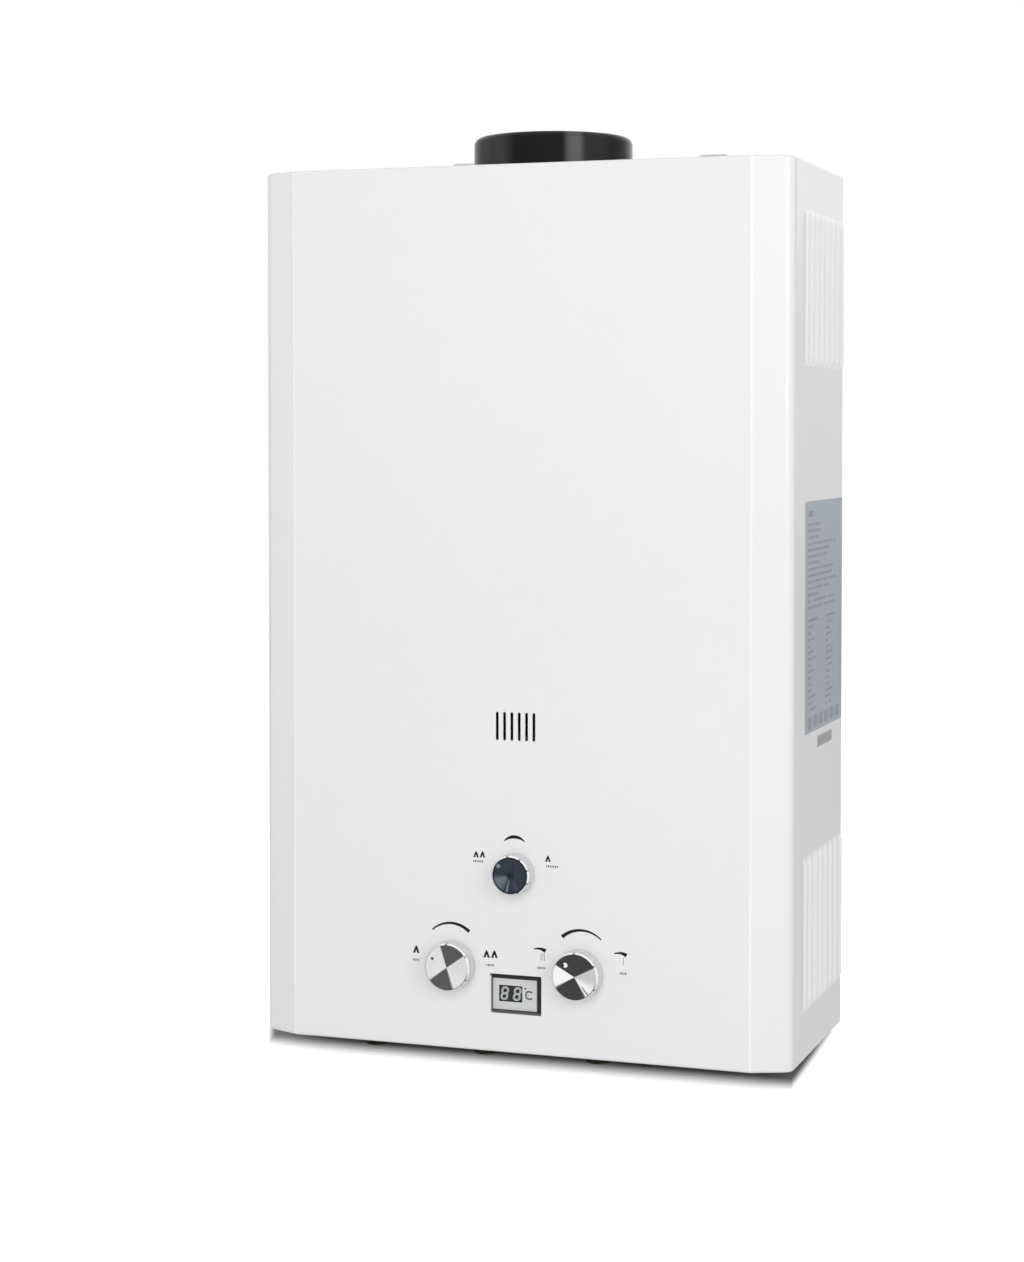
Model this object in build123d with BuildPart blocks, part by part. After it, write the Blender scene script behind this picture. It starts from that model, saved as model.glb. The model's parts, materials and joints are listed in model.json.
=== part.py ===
from build123d import *
from math import atan2, cos, radians, sin
import os

os.makedirs("parts", exist_ok=True)

# Frame: X to the viewer's right, -Y out of the wall towards the viewer, +Z up.
# The origin is on the wall, at the centre of the four wall holes.

# Case, pressed from one sheet
case_w = 440.0
case_h = 700.0
case_d = 188.0
sheet = 0.8
strip_w = 30.5
strip_d = 12.3
corner_r = 10.0
crease_r = 5.0
edge_r = 2.5
rear_gap = 1.2
rim_w = 14.0
fit_gap = 0.1
running_gap = 0.05
loose_gap = 0.3
floor_z = -case_h / 2
roof_z = case_h / 2
mid_y = -case_d / 2

# Pressed louvres in both sides
louvre_count = 8
louvre_pitch = 18.9
louvre_length = 120.0
louvre_width = 6.0
louvre_rise = 1.8
louvre_lip = 1.4
louvre_end_r = 5.4
louvre_lip_r = 1.2
louvre_last_y = -5.6
louvre_height = 251.5

# View slots in front of the burner
slot_count = 6
slot_pitch = 6.1
slot_width = 2.4
slot_length = 22.5
slot_z = floor_z + 258.5

# Back plate with wall ears
plate_t = 1.0
plate_flange = 20.0
ear_x = 110.0
ear_z = roof_z + 10.0
ear_w = 30.0
ear_rise = 11.5
ear_root = 19.0
ear_r = 6.0
wall_hole_r = 3.5
side_flange_z = roof_z - 180.0
end_flange_h = 22.0
rib_x = 60.0
rib_w = 14.0
rib_h = case_h - 180.0
rib_rise = 2.0
top_flange_y = 23.0 - case_d

# Screws that hold the cover
cover_screw_r = 2.0
cover_screw_hole_r = 2.3
cover_screw_head_r = 4.2
cover_screw_head_h = 2.2
cover_screw_length = 9.0
top_screw_inset = 70.0
top_screw_x = case_w / 2 - top_screw_inset
bottom_screw_x = case_w / 2 - rim_w / 2
cover_screw_y = -26.0

# Flue collar and draft hood
collar_r = 64.5
collar_wall = 1.2
collar_rise = 28.6
collar_shoulder_r = 6.0
collar_lip = 2.0
collar_foot_w = 9.0
collar_notch_gap = 1.5
collar_screw_count = 4
collar_screw_r = 1.6
collar_screw_head_r = 3.2
collar_screw_head_h = 1.8
screw_dome = 0.6
screw_cross_l = 1.1
screw_cross_w = 0.24
screw_cross_d = 0.5
hood_outlet_r = 50.0
hood_sheet = 0.8
hood_box_w = 212.0
hood_box_d = 132.0
hood_box_h = 42.0
hood_base_z = roof_z - 154.4
hood_neck_z = roof_z - 60.0
hood_top_z = roof_z + 14.0
hood_relief_w = 150.0
hood_relief_h = 14.0

# Heat exchanger, combustion chamber and water coil
chamber_w = 200.0
chamber_d = 120.0
chamber_sheet = 0.8
chamber_base_z = floor_z + 275.0
exchanger_h = 75.4
chamber_top_z = hood_base_z - exchanger_h - 2 * fit_gap
exchanger_base_z = chamber_top_z + fit_gap
exchanger_top_z = hood_base_z - fit_gap
fin_count = 27
fin_pitch = 7.0
fin_t = 0.6
fin_margin = 12.0
tube_count = 4
tube_pitch = 30.0
tube_r = 8.0
tube_stub = 12.0
tube_z = (exchanger_base_z + exchanger_top_z) / 2
pipe_r = 6.0
pipe_bend_r = 14.0
coil_gap = 0.4
coil_first_z = floor_z + 300.0
coil_turns = 2
coil_end_room = 75.0
coil_rise = (chamber_top_z - chamber_base_z - coil_end_room) / coil_turns
coil_start_x = 80.0
coil_step_z = floor_z + 140.0
outlet_reach = 50.0
outlet_pipe_x = -(chamber_w / 2 + outlet_reach)
outlet_bend_r = 17.0

# Burner and gas manifold
burner_side_inset = 2.0
burner_front_inset = 8.0
burner_w = chamber_w - 2 * burner_side_inset
burner_d = chamber_d - 2 * burner_front_inset
burner_sheet = 1.0
burner_base_z = floor_z + 185.0
burner_top_z = chamber_base_z - fit_gap
sight_w = 44.0
sight_h = 26.0
blade_count = 12
blade_pitch = 15.0
blade_t = 4.6
blade_room = 4.0
blade_d = burner_d - 2 * blade_room
blade_h = 46.0
blade_base_z = floor_z + 199.0
blade_port_count = 9
blade_port_pitch = 9.6
blade_port_w = 5.6
blade_port_h = 4.0
nozzle_r = 3.0
nozzle_tip = 6.0
manifold_inset = 3.0
manifold_w = burner_w - 2 * manifold_inset
manifold_d = 14.0
manifold_h = 18.0
manifold_front_y = mid_y - 78.0
manifold_z = blade_base_z + 7.0
riser_r = 7.0

# Valves, spindles and knobs
valve_y = -110.0
knob_x = 53.0
knob_z = floor_z + 67.0
season_z = floor_z + 143.0
boss_r = 9.0
boss_front_y = 10.0 - case_d
boss_sink = 2.0
spindle_r = 3.0
spindle_in = 16.0
spindle_flat = 1.0
panel_hole_r = 5.0
knob_lift = 0.8
knob_depth = 13.0
knob_taper = 0.2
knob_bore = 9.0
knob_r = 19.2
season_knob_r = 15.8
knob_edge_r = 0.8
face_t = 0.6
face_recess = 0.9
face_rim = 1.1
grip_count = 6
grip_start = 31.0
season_grip_count = 9
season_grip_start = 18.0
grip_w = 1.5
grip_d = 0.7
grip_l = 6.0
pointer_r = 1.3
pointer_inset = 5.4
gas_pointer = 154.0
water_pointer = 130.0
season_pointer = 139.0
gas_valve_w = 70.0
gas_valve_d = 70.0
gas_valve_h = 60.0
gas_valve_right = -25.0
gas_valve_fillet = 5.0
water_valve_r = 36.0
water_valve_left = 26.0
water_valve_w = 40.0
diaphragm_t = 2.0
diaphragm_cavity_r = 28.0
diaphragm_cavity_w = 14.0
valve_cover_w = 24.0
valve_bolt_count = 6
valve_bolt_circle_r = 32.0
valve_bolt_r = 2.0
valve_bolt_head_r = 3.4
valve_bolt_head_h = 3.0
season_valve_w = 36.0
season_valve_d = 36.0
season_valve_h = 36.0
season_step = 1.0

# Push rod between the valves, with the switch that it works
rod_r = 2.5
rod_travel = 4.0
rod_tip_in = 18.0
rod_plate_r = 22.0
rod_plate_t = 2.5
rod_collar_r = 7.0
rod_collar_t = 2.0
lever_x = -6.0
lever_t = 0.8
lever_w = 12.0
lever_pivot_z = knob_z + 27.0
lever_tip_z = knob_z + 5.0
lever_pin_r = 1.0
lever_barrel_r = 1.8
switch_w = 11.9
switch_d = 20.0
switch_h = 24.0
cheek_t = 2.0
cheek_reach = 10.0
cheek_h = 9.0
switch_gap = 2.0
cheek_gap = 1.0

# Gas solenoid
solenoid_r = 13.0
solenoid_w = 30.0
solenoid_end_t = 2.0
plunger_r = 5.0
plunger_w = 19.0
plunger_travel = 3.0
plunger_gap = 1.0

# Connections under the case
thread_r = 10.475
shank_r = 10.0
thread_top_z = floor_z - 0.6
nipple_bore_r = 7.5
nipple_drop = 21.0
nipple_hex = 27.0
nipple_hex_h = 8.0
thread_depth = 1.16
hot_x = outlet_pipe_x
hot_z = floor_z + 24.0
cold_x = 44.0
gas_x = -knob_x
grommet_r = 13.5
grommet_t = 3.0
grommet_lip = 2.0
filter_rim_w = 1.0
filter_rim_h = 2.0
filter_mesh_t = 0.8
filter_mesh_pitch = 2.2
filter_mesh_hole = 1.4
filter_mesh_count = 5
union_hex = 19.0
union_h = 10.0
relief_x = 80.0
relief_r = 5.0
relief_cap_r = 8.0
relief_cap_h = 12.0
relief_drop = 16.0
relief_wing_w = 24.0
relief_wing_t = 3.0
relief_cap_end = 2.0

# Base plate
base_t = 1.0
base_gap = 0.1
base_z = floor_z + sheet + base_gap

# Battery box in the base
cell_r = 16.5
cell_h = 61.5
cell_pitch = 36.0
cell_button_r = 4.5
cell_button_h = 1.5
battery_inset = 60.0
battery_x = case_w / 2 - battery_inset
battery_y = -100.0
battery_wall = 1.5
battery_room = 1.0
battery_door_t = 2.0
battery_door_gap = 0.5
contact_t = 0.4
contact_lift = 0.3
hinge_r = 1.6
hinge_pin_r = 0.8
hinge_ear_w = 6.0
finger_ridge_w = 16.0
finger_ridge_t = 1.6
finger_ridge_h = 1.2

# Controller with its leads
controller_inset = 58.0
controller_x = case_w / 2 - controller_inset
controller_y = -40.0
controller_z = floor_z + 140.0
controller_w = 80.0
controller_d = 38.0
controller_h = 80.0
controller_wall = 2.0
controller_lug = 8.0
coil_block = 28.0
coil_block_d = 18.0
chip_w = 18.0
chip_d = 6.0
chip_x = 6.0
chip_z = -26.0
lead_r = 1.6
lead_bend_r = 8.0
electrode_x = 60.0
electrode_r = 3.2
electrode_length = 24.0
electrode_wire_r = 0.8
electrode_z = floor_z + 252.0
bracket_t = 1.2
bracket_lift = 5.0
bracket_h = 30.0
bracket_reach = 15.0
bracket_foot = 16.0
valve_bracket_h = 28.0

# Display in the front panel
display_w = 43.0
display_h = 31.0
display_z = floor_z + 46.7
display_depth = 11.0
display_wall = 1.5
display_recess = 2.6
display_flange = 2.0
lens_t = 1.5
board_t = 1.6
lcd_w = 20.0
lcd_h = 15.0

# Sensors
sensor_lift = 220.0
clip_wall = 2.5
clip_h = 14.0
clip_head_r = 5.0
clip_head_l = 9.0
overheat_w = 26.0
overheat_h = 14.0
overheat_r = 8.0
overheat_lift = 8.0

# Data film on the right side
label_w = 135.0
label_h = 181.5
label_z = -4.8
label_t = 0.2
label_rear = -1.6
label_r = 2.0
tick_w = 52.0
tick_h = 9.0
tick_y = -65.8
tick_z = -105.5


def keep(piece, name):
    piece.part.label = name
    export_step(piece.part, f"parts/{name}.step")


def front_plane(x, z, lift=0.0):
    # lies parallel to the front panel, facing the viewer, lift mm in front of it
    return Plane(origin=(x, -case_d - lift, z), x_dir=(1, 0, 0), z_dir=(0, -1, 0))


def facing_plane(x, y, z):
    return Plane(origin=(x, y, z), x_dir=(1, 0, 0), z_dir=(0, -1, 0))


def side_plane(x, y=0.0, z=0.0):
    # lies parallel to the right side, facing +X, with local x along +Y
    return Plane(origin=(x, y, z), x_dir=(0, 1, 0), z_dir=(1, 0, 0))


def level_plane(z, x=0.0, y=0.0):
    return Plane.XY.move(Location((x, y, z)))


def block(x0, x1, y0, y1, z0, z1, mode=Mode.ADD):
    with Locations(((x0 + x1) / 2, (y0 + y1) / 2, (z0 + z1) / 2)):
        Box(abs(x1 - x0), abs(y1 - y0), abs(z1 - z0), mode=mode)


def tube(points, radius, bend):
    with BuildPart() as run:
        with BuildLine() as path:
            FilletPolyline(*points, radius=bend)
        with BuildSketch(Plane(origin=points[0], z_dir=path.line % 0)):
            Circle(radius)
        sweep()
    return run


def case_form(inset, rear):
    # the outline seen from above: two flat sides, two receding strips and the front
    half = case_w / 2 - inset
    front = case_d - inset
    lean = atan2(strip_d, strip_w)
    crease = case_w / 2 - strip_w - inset * (1 - cos(lean)) / sin(lean)
    shoulder = front - (half - crease) * strip_d / strip_w
    outline = [
        (-half, rear),
        (-half, -shoulder),
        (-crease, -front),
        (crease, -front),
        (half, -shoulder),
        (half, rear),
    ]
    radii = [0, corner_r - inset, crease_r - inset, crease_r - inset, corner_r - inset, 0]
    with BuildPart() as form:
        with BuildSketch(Plane.XY.offset(floor_z + inset)):
            with BuildLine():
                FilletPolyline(*outline, radius=radii, close=True)
            make_face()
        extrude(amount=case_h - 2 * inset)
        rear_edges = form.edges().filter_by(Axis.X).group_by(Axis.Y)[-1]
        ends = form.edges().group_by(Axis.Z)[0] + form.edges().group_by(Axis.Z)[-1]
        fillet([edge for edge in ends if edge not in rear_edges], edge_r - inset)
    return form


# One louvre stands on the plane X = 0 and opens to the rear
with BuildPart() as louvre:
    with BuildSketch(side_plane(0)):
        RectangleRounded(2 * louvre_width, louvre_length, louvre_end_r)
    with BuildSketch(side_plane(louvre_rise)):
        lip_length = louvre_length - 2 * (louvre_width - louvre_lip)
        RectangleRounded(2 * louvre_lip, lip_length, louvre_lip_r)
    loft(ruled=True)
    block(-louvre_rise, 2 * louvre_rise, 0, 2 * louvre_width, -louvre_length, louvre_length, Mode.SUBTRACT)

louvre_places = [
    (louvre_last_y - step * louvre_pitch, side * louvre_height)
    for side in (-1, 1)
    for step in range(louvre_count)
]

with BuildPart() as louvre_bank:
    with Locations([(case_w / 2, y, z) for y, z in louvre_places]):
        add(louvre.part)

shell_rear = 20.0
case_outer = case_form(0, shell_rear)
case_inner = case_form(sheet, shell_rear + 2 * sheet)

with BuildPart() as front_cover:
    add(case_outer.part)
    add(case_inner.part, mode=Mode.SUBTRACT)
    block(-case_w, case_w, -rear_gap, 2 * shell_rear, -case_h, case_h, Mode.SUBTRACT)
    with BuildSketch(level_plane(roof_z, 0, mid_y)):
        Circle(collar_r + collar_notch_gap)
        with Locations((0, case_d / 2)):
            Rectangle(2 * (collar_r + collar_notch_gap), case_d)
    extrude(amount=-2 * sheet, mode=Mode.SUBTRACT)
    opening_half = case_w / 2 - rim_w
    opening_front = -case_d + rim_w + strip_d
    block(-opening_half, opening_half, opening_front, 0, floor_z - sheet, floor_z + 2 * sheet, Mode.SUBTRACT)
    with BuildSketch(front_plane(0, slot_z)):
        with GridLocations(slot_pitch, 0, slot_count, 1):
            SlotOverall(slot_length, slot_width, rotation=90)
    extrude(amount=-2 * sheet, mode=Mode.SUBTRACT)
    for hole_x, hole_z in ((-knob_x, knob_z), (knob_x, knob_z), (0, season_z)):
        with BuildSketch(front_plane(hole_x, hole_z)):
            Circle(panel_hole_r)
        extrude(amount=-2 * sheet, mode=Mode.SUBTRACT)
    with BuildSketch(front_plane(0, display_z)):
        Rectangle(display_w, display_h)
    extrude(amount=-2 * sheet, mode=Mode.SUBTRACT)
    for side in (0, 1):
        bank = louvre_bank.part if side == 0 else louvre_bank.part.mirror(Plane.YZ)
        inward = -sheet if side == 0 else sheet
        add(bank)
        add(bank.moved(Location((inward, 0, 0))), mode=Mode.SUBTRACT)
    with BuildSketch(level_plane(roof_z)):
        with Locations((-top_screw_x, cover_screw_y), (top_screw_x, cover_screw_y)):
            Circle(cover_screw_hole_r)
    extrude(amount=-2 * sheet, mode=Mode.SUBTRACT)
    with BuildSketch(level_plane(floor_z)):
        with Locations((-bottom_screw_x, cover_screw_y), (bottom_screw_x, cover_screw_y)):
            Circle(cover_screw_hole_r)
    extrude(amount=2 * sheet, mode=Mode.SUBTRACT)
keep(front_cover, "front_cover")

# Back plate: flat against the wall, with turned flanges and four wall ears
inner_half = case_w / 2 - sheet - fit_gap
plate_top = roof_z - sheet - fit_gap
plate_bottom = floor_z + edge_r + fit_gap
with BuildPart() as back_plate:
    block(-inner_half, inner_half, -plate_t, 0, plate_bottom, plate_top)
    for side in (-1, 1):
        near = side * (inner_half - plate_t)
        far = side * inner_half
        block(near, far, -plate_flange, 0, -side_flange_z, side_flange_z)
        block(near, far, -plate_flange, 0, plate_top - end_flange_h, plate_top)
        block(near, far, -plate_flange, 0, plate_bottom, plate_bottom + end_flange_h)
    block(-inner_half, inner_half, top_flange_y, 0, plate_top - plate_t, plate_top)
    for side in (-1, 1):
        block(side * (inner_half - edge_r), side * case_w, -case_d, 0, plate_top - edge_r, roof_z,
              Mode.SUBTRACT)
    with BuildSketch(facing_plane(0, 0, 0)):
        ear_mid_z = ear_z + (ear_rise - ear_root) / 2
        with Locations([(x, z) for x in (-ear_x, ear_x) for z in (-ear_mid_z, ear_mid_z)]):
            RectangleRounded(ear_w, ear_rise + ear_root, ear_r)
    extrude(amount=plate_t)
    with BuildSketch(facing_plane(0, 0, 0)):
        with GridLocations(2 * ear_x, 2 * ear_z, 2, 2):
            Circle(wall_hole_r)
    extrude(amount=plate_t, mode=Mode.SUBTRACT)
    with BuildSketch(facing_plane(0, 0, 0)):
        with Locations((-rib_x, 0), (rib_x, 0)):
            SlotOverall(rib_h, rib_w, rotation=90)
    extrude(amount=plate_t + rib_rise)
    with BuildSketch(facing_plane(0, 0, 0)):
        with Locations((-rib_x, 0), (rib_x, 0)):
            SlotOverall(rib_h - 2 * plate_t, rib_w - 2 * plate_t, rotation=90)
    extrude(amount=rib_rise, mode=Mode.SUBTRACT)
    with BuildSketch(level_plane(plate_top, 0, mid_y)):
        Circle(hood_outlet_r + loose_gap)
        with PolarLocations(collar_r - collar_wall - collar_foot_w / 2, collar_screw_count, 45):
            Circle(collar_screw_r + fit_gap)
        with Locations((-top_screw_x, cover_screw_y - mid_y), (top_screw_x, cover_screw_y - mid_y)):
            Circle(cover_screw_r + fit_gap)
    extrude(amount=-2 * plate_t, mode=Mode.SUBTRACT)
keep(back_plate, "back_plate")


def screw(x, y, z, up, shank_r, head_r, head_h, length):
    # the head's underside is at z; up is 1 when the head is on top and -1 below
    with BuildPart() as made:
        with BuildSketch(level_plane(z, x, y)):
            Circle(head_r)
        extrude(amount=up * head_h)
        fillet(made.edges().group_by(Axis.Z)[-1 if up > 0 else 0], head_h * screw_dome)
        with BuildSketch(level_plane(z, x, y)):
            Circle(shank_r)
        extrude(amount=-up * length)
        with BuildSketch(level_plane(z + up * head_h, x, y)):
            Rectangle(head_r * screw_cross_l, head_r * screw_cross_w)
            Rectangle(head_r * screw_cross_w, head_r * screw_cross_l)
        extrude(amount=-up * head_h * screw_cross_d, mode=Mode.SUBTRACT)
    return made.part


# Battery box outline, which the base plate is cut to
box_half_w = cell_pitch / 2 + cell_r + battery_room + battery_wall
box_half_d = cell_r + battery_room + battery_wall
box_base_z = base_z + base_t + fit_gap
door_top_z = box_base_z - fit_gap
door_base_z = door_top_z - battery_door_t
hinge_y = battery_y + box_half_d
hinge_z = door_base_z
cell_base_z = door_top_z + contact_t + contact_lift
cell_top_z = cell_base_z + cell_h
box_top_z = cell_top_z + cell_button_h + contact_lift + contact_t + battery_wall

with BuildPart() as base_plate:
    base_half = case_w / 2 - edge_r - fit_gap
    front_edge = -case_d + edge_r + fit_gap
    shoulder_edge = front_edge + strip_d + crease_r
    block(-base_half, base_half, shoulder_edge, -plate_t - fit_gap, base_z, base_z + base_t)
    block(strip_w - base_half, base_half - strip_w, front_edge, shoulder_edge, base_z, base_z + base_t)
    with BuildSketch(level_plane(base_z)):
        with Locations((hot_x, valve_y), (gas_x, valve_y), (cold_x, valve_y)):
            Circle(grommet_r - loose_gap)
        with Locations((relief_x, valve_y)):
            Circle(relief_r + 2 * loose_gap)
        with Locations((-bottom_screw_x, cover_screw_y), (bottom_screw_x, cover_screw_y)):
            Circle(cover_screw_r + fit_gap)
        with Locations((battery_x, battery_y)):
            Rectangle(2 * (box_half_w + battery_door_gap), 2 * (box_half_d + battery_door_gap))
        with Locations((battery_x, hinge_y)):
            Rectangle(2 * box_half_w, 4 * hinge_r)
    extrude(amount=base_t, mode=Mode.SUBTRACT)
keep(base_plate, "base_plate")

# Flue collar: a rolled rim on top and a turned foot with four screws
collar_foot_z = plate_top
collar_top_z = roof_z + collar_rise
collar_inner_r = collar_r - collar_wall
with BuildPart() as collar_cavity:
    with BuildSketch(level_plane(collar_foot_z + collar_wall, 0, mid_y)):
        Circle(collar_inner_r)
    extrude(amount=collar_top_z - collar_foot_z - 2 * collar_wall)
    fillet(collar_cavity.edges().group_by(Axis.Z)[-1], collar_shoulder_r - collar_wall)

with BuildPart() as flue_collar:
    with BuildSketch(level_plane(collar_foot_z, 0, mid_y)):
        Circle(collar_r)
    extrude(amount=collar_top_z - collar_foot_z)
    fillet(flue_collar.edges().group_by(Axis.Z)[-1], collar_shoulder_r)
    add(collar_cavity.part, mode=Mode.SUBTRACT)
    with BuildSketch(level_plane(collar_foot_z, 0, mid_y)):
        Circle(collar_inner_r - collar_foot_w)
        with PolarLocations(collar_inner_r - collar_foot_w / 2, collar_screw_count, 45):
            Circle(collar_screw_r + fit_gap)
    extrude(amount=collar_wall, mode=Mode.SUBTRACT)
    with BuildSketch(level_plane(collar_top_z, 0, mid_y)):
        Circle(collar_r - collar_shoulder_r - collar_lip)
    extrude(amount=-2 * collar_wall, mode=Mode.SUBTRACT)
keep(flue_collar, "flue_collar")

# Four screws hold the cover, and four the collar
with BuildPart() as case_screws:
    for side in (-1, 1):
        add(screw(side * top_screw_x, cover_screw_y, roof_z, 1, cover_screw_r, cover_screw_head_r,
                  cover_screw_head_h, cover_screw_length))
        add(screw(side * bottom_screw_x, cover_screw_y, floor_z, -1, cover_screw_r, cover_screw_head_r,
                  cover_screw_head_h, cover_screw_length))
    for index in range(collar_screw_count):
        angle = radians(45 + index * 360 / collar_screw_count)
        reach = collar_inner_r - collar_foot_w / 2
        add(screw(reach * cos(angle), mid_y + reach * sin(angle), collar_foot_z + collar_wall, 1,
                  collar_screw_r, collar_screw_head_r, collar_screw_head_h, 3 * plate_t + collar_wall))
keep(case_screws, "case_screws")


def hood_form(inset):
    with BuildPart() as form:
        with BuildSketch(level_plane(hood_base_z, 0, mid_y)):
            Rectangle(hood_box_w - 2 * inset, hood_box_d - 2 * inset)
        extrude(amount=hood_box_h)
        with BuildSketch(level_plane(hood_base_z + hood_box_h, 0, mid_y)):
            Rectangle(hood_box_w - 2 * inset, hood_box_d - 2 * inset)
        with BuildSketch(level_plane(hood_neck_z, 0, mid_y)):
            Circle(hood_outlet_r - inset)
        loft()
        with BuildSketch(level_plane(hood_neck_z, 0, mid_y)):
            Circle(hood_outlet_r - inset)
        extrude(amount=hood_top_z - hood_neck_z)
    return form


with BuildPart() as draft_hood:
    add(hood_form(0).part)
    add(hood_form(hood_sheet).part, mode=Mode.SUBTRACT)
    with BuildSketch(facing_plane(0, mid_y, hood_base_z + hood_box_h / 2)):
        SlotOverall(hood_relief_w, hood_relief_h)
    extrude(amount=hood_box_d, mode=Mode.SUBTRACT)
keep(draft_hood, "draft_hood")

# Heat exchanger: four wrapping sheets round a core of fins and four tubes joined by bends
tube_ys = [mid_y + (index - (tube_count - 1) / 2) * tube_pitch for index in range(tube_count)]
half_w = chamber_w / 2
half_d = chamber_d / 2
with BuildPart() as heat_exchanger:
    for side in (-1, 1):
        inner_y = mid_y + side * (half_d - chamber_sheet)
        outer_y = mid_y + side * half_d
        block(-half_w, half_w, min(inner_y, outer_y), max(inner_y, outer_y), exchanger_base_z, exchanger_top_z)
        inner_x = side * (half_w - chamber_sheet)
        outer_x = side * half_w
        block(min(inner_x, outer_x), max(inner_x, outer_x), mid_y - half_d + chamber_sheet + fit_gap,
              mid_y + half_d - chamber_sheet - fit_gap, exchanger_base_z, exchanger_top_z)
    for tube_y in tube_ys:
        with BuildSketch(side_plane(-half_w, tube_y, tube_z)):
            Circle(tube_r + fit_gap)
        extrude(amount=chamber_w, mode=Mode.SUBTRACT)
    for index in range(fin_count):
        fin_x = (index - (fin_count - 1) / 2) * fin_pitch
        block(fin_x - fin_t / 2, fin_x + fin_t / 2, mid_y - half_d + chamber_sheet + fit_gap,
              mid_y + half_d - chamber_sheet - fit_gap, exchanger_base_z + fin_margin, exchanger_top_z - fin_margin)
    for index, tube_y in enumerate(tube_ys):
        with BuildSketch(side_plane(-half_w, tube_y, tube_z)):
            Circle(tube_r)
        extrude(amount=chamber_w)
    for end_x, first in ((half_w, 0), (-half_w, 1), (half_w, 2)):
        bend_y = (tube_ys[first] + tube_ys[first + 1]) / 2
        with BuildSketch(side_plane(end_x, tube_ys[first], tube_z)):
            Circle(tube_r)
        turn = Axis((end_x, bend_y, tube_z), (0, 0, 1 if end_x > 0 else -1))
        revolve(axis=turn, revolution_arc=180)
    for tube_y in (tube_ys[0], tube_ys[-1]):
        with BuildSketch(side_plane(-half_w, tube_y, tube_z)):
            Circle(tube_r)
        extrude(amount=-tube_stub)
keep(heat_exchanger, "heat_exchanger")

chamber_corner_r = pipe_bend_r - pipe_r - coil_gap
with BuildPart() as combustion_chamber:
    with BuildSketch(level_plane(chamber_base_z, 0, mid_y)):
        RectangleRounded(chamber_w, chamber_d, chamber_corner_r)
        RectangleRounded(chamber_w - 2 * chamber_sheet, chamber_d - 2 * chamber_sheet,
                         chamber_corner_r - chamber_sheet, mode=Mode.SUBTRACT)
    extrude(amount=chamber_top_z - chamber_base_z)
keep(combustion_chamber, "combustion_chamber")

# Water coil: up from the water valve, round the chamber, and into the first tube
wrap_x = half_w + coil_gap + pipe_r
wrap_front = mid_y - half_d - coil_gap - pipe_r
wrap_rear = mid_y + half_d + coil_gap + pipe_r
union_top_z = knob_z + water_valve_r + union_h
coil_route = [
    (coil_start_x, mid_y, union_top_z),
    (coil_start_x, mid_y, coil_step_z),
    (wrap_x, mid_y, coil_step_z),
    (wrap_x, mid_y, coil_first_z),
]
for turn in range(coil_turns + 1):
    level = coil_first_z + turn * coil_rise
    coil_route.append((wrap_x, wrap_front, level))
    coil_route.append((-wrap_x, wrap_front, level))
    if turn < coil_turns:
        coil_route.append((-wrap_x, wrap_rear, level))
        coil_route.append((wrap_x, wrap_rear, level + coil_rise))
coil_end_y = tube_ys[0] + 2 * loose_gap
last_level = coil_first_z + coil_turns * coil_rise
coil_route.append((-wrap_x, coil_end_y, last_level))
coil_route.append((-wrap_x, coil_end_y, tube_z - tube_r - loose_gap))
coil_bends = [pipe_bend_r] * (len(coil_route) - 4) + [pipe_r * 1.6] * 2
coil_bends[0] = pipe_r * 2
coil_bends[1] = pipe_r * 2
water_coil = tube(coil_route, pipe_r, coil_bends)
keep(water_coil, "water_coil")

hot_pipe_start = -half_w - tube_stub - fit_gap
hot_pipe_route = [
    (hot_pipe_start, tube_ys[-1], tube_z),
    (outlet_pipe_x, tube_ys[-1], tube_z),
    (outlet_pipe_x, tube_ys[-1], floor_z + 120.0),
    (outlet_pipe_x, valve_y, floor_z + 90.0),
    (outlet_pipe_x, valve_y, hot_z + nipple_hex_h + union_h),
]
hot_pipe = tube(hot_pipe_route, pipe_r, [outlet_bend_r] * 3)
keep(hot_pipe, "hot_pipe")

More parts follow.
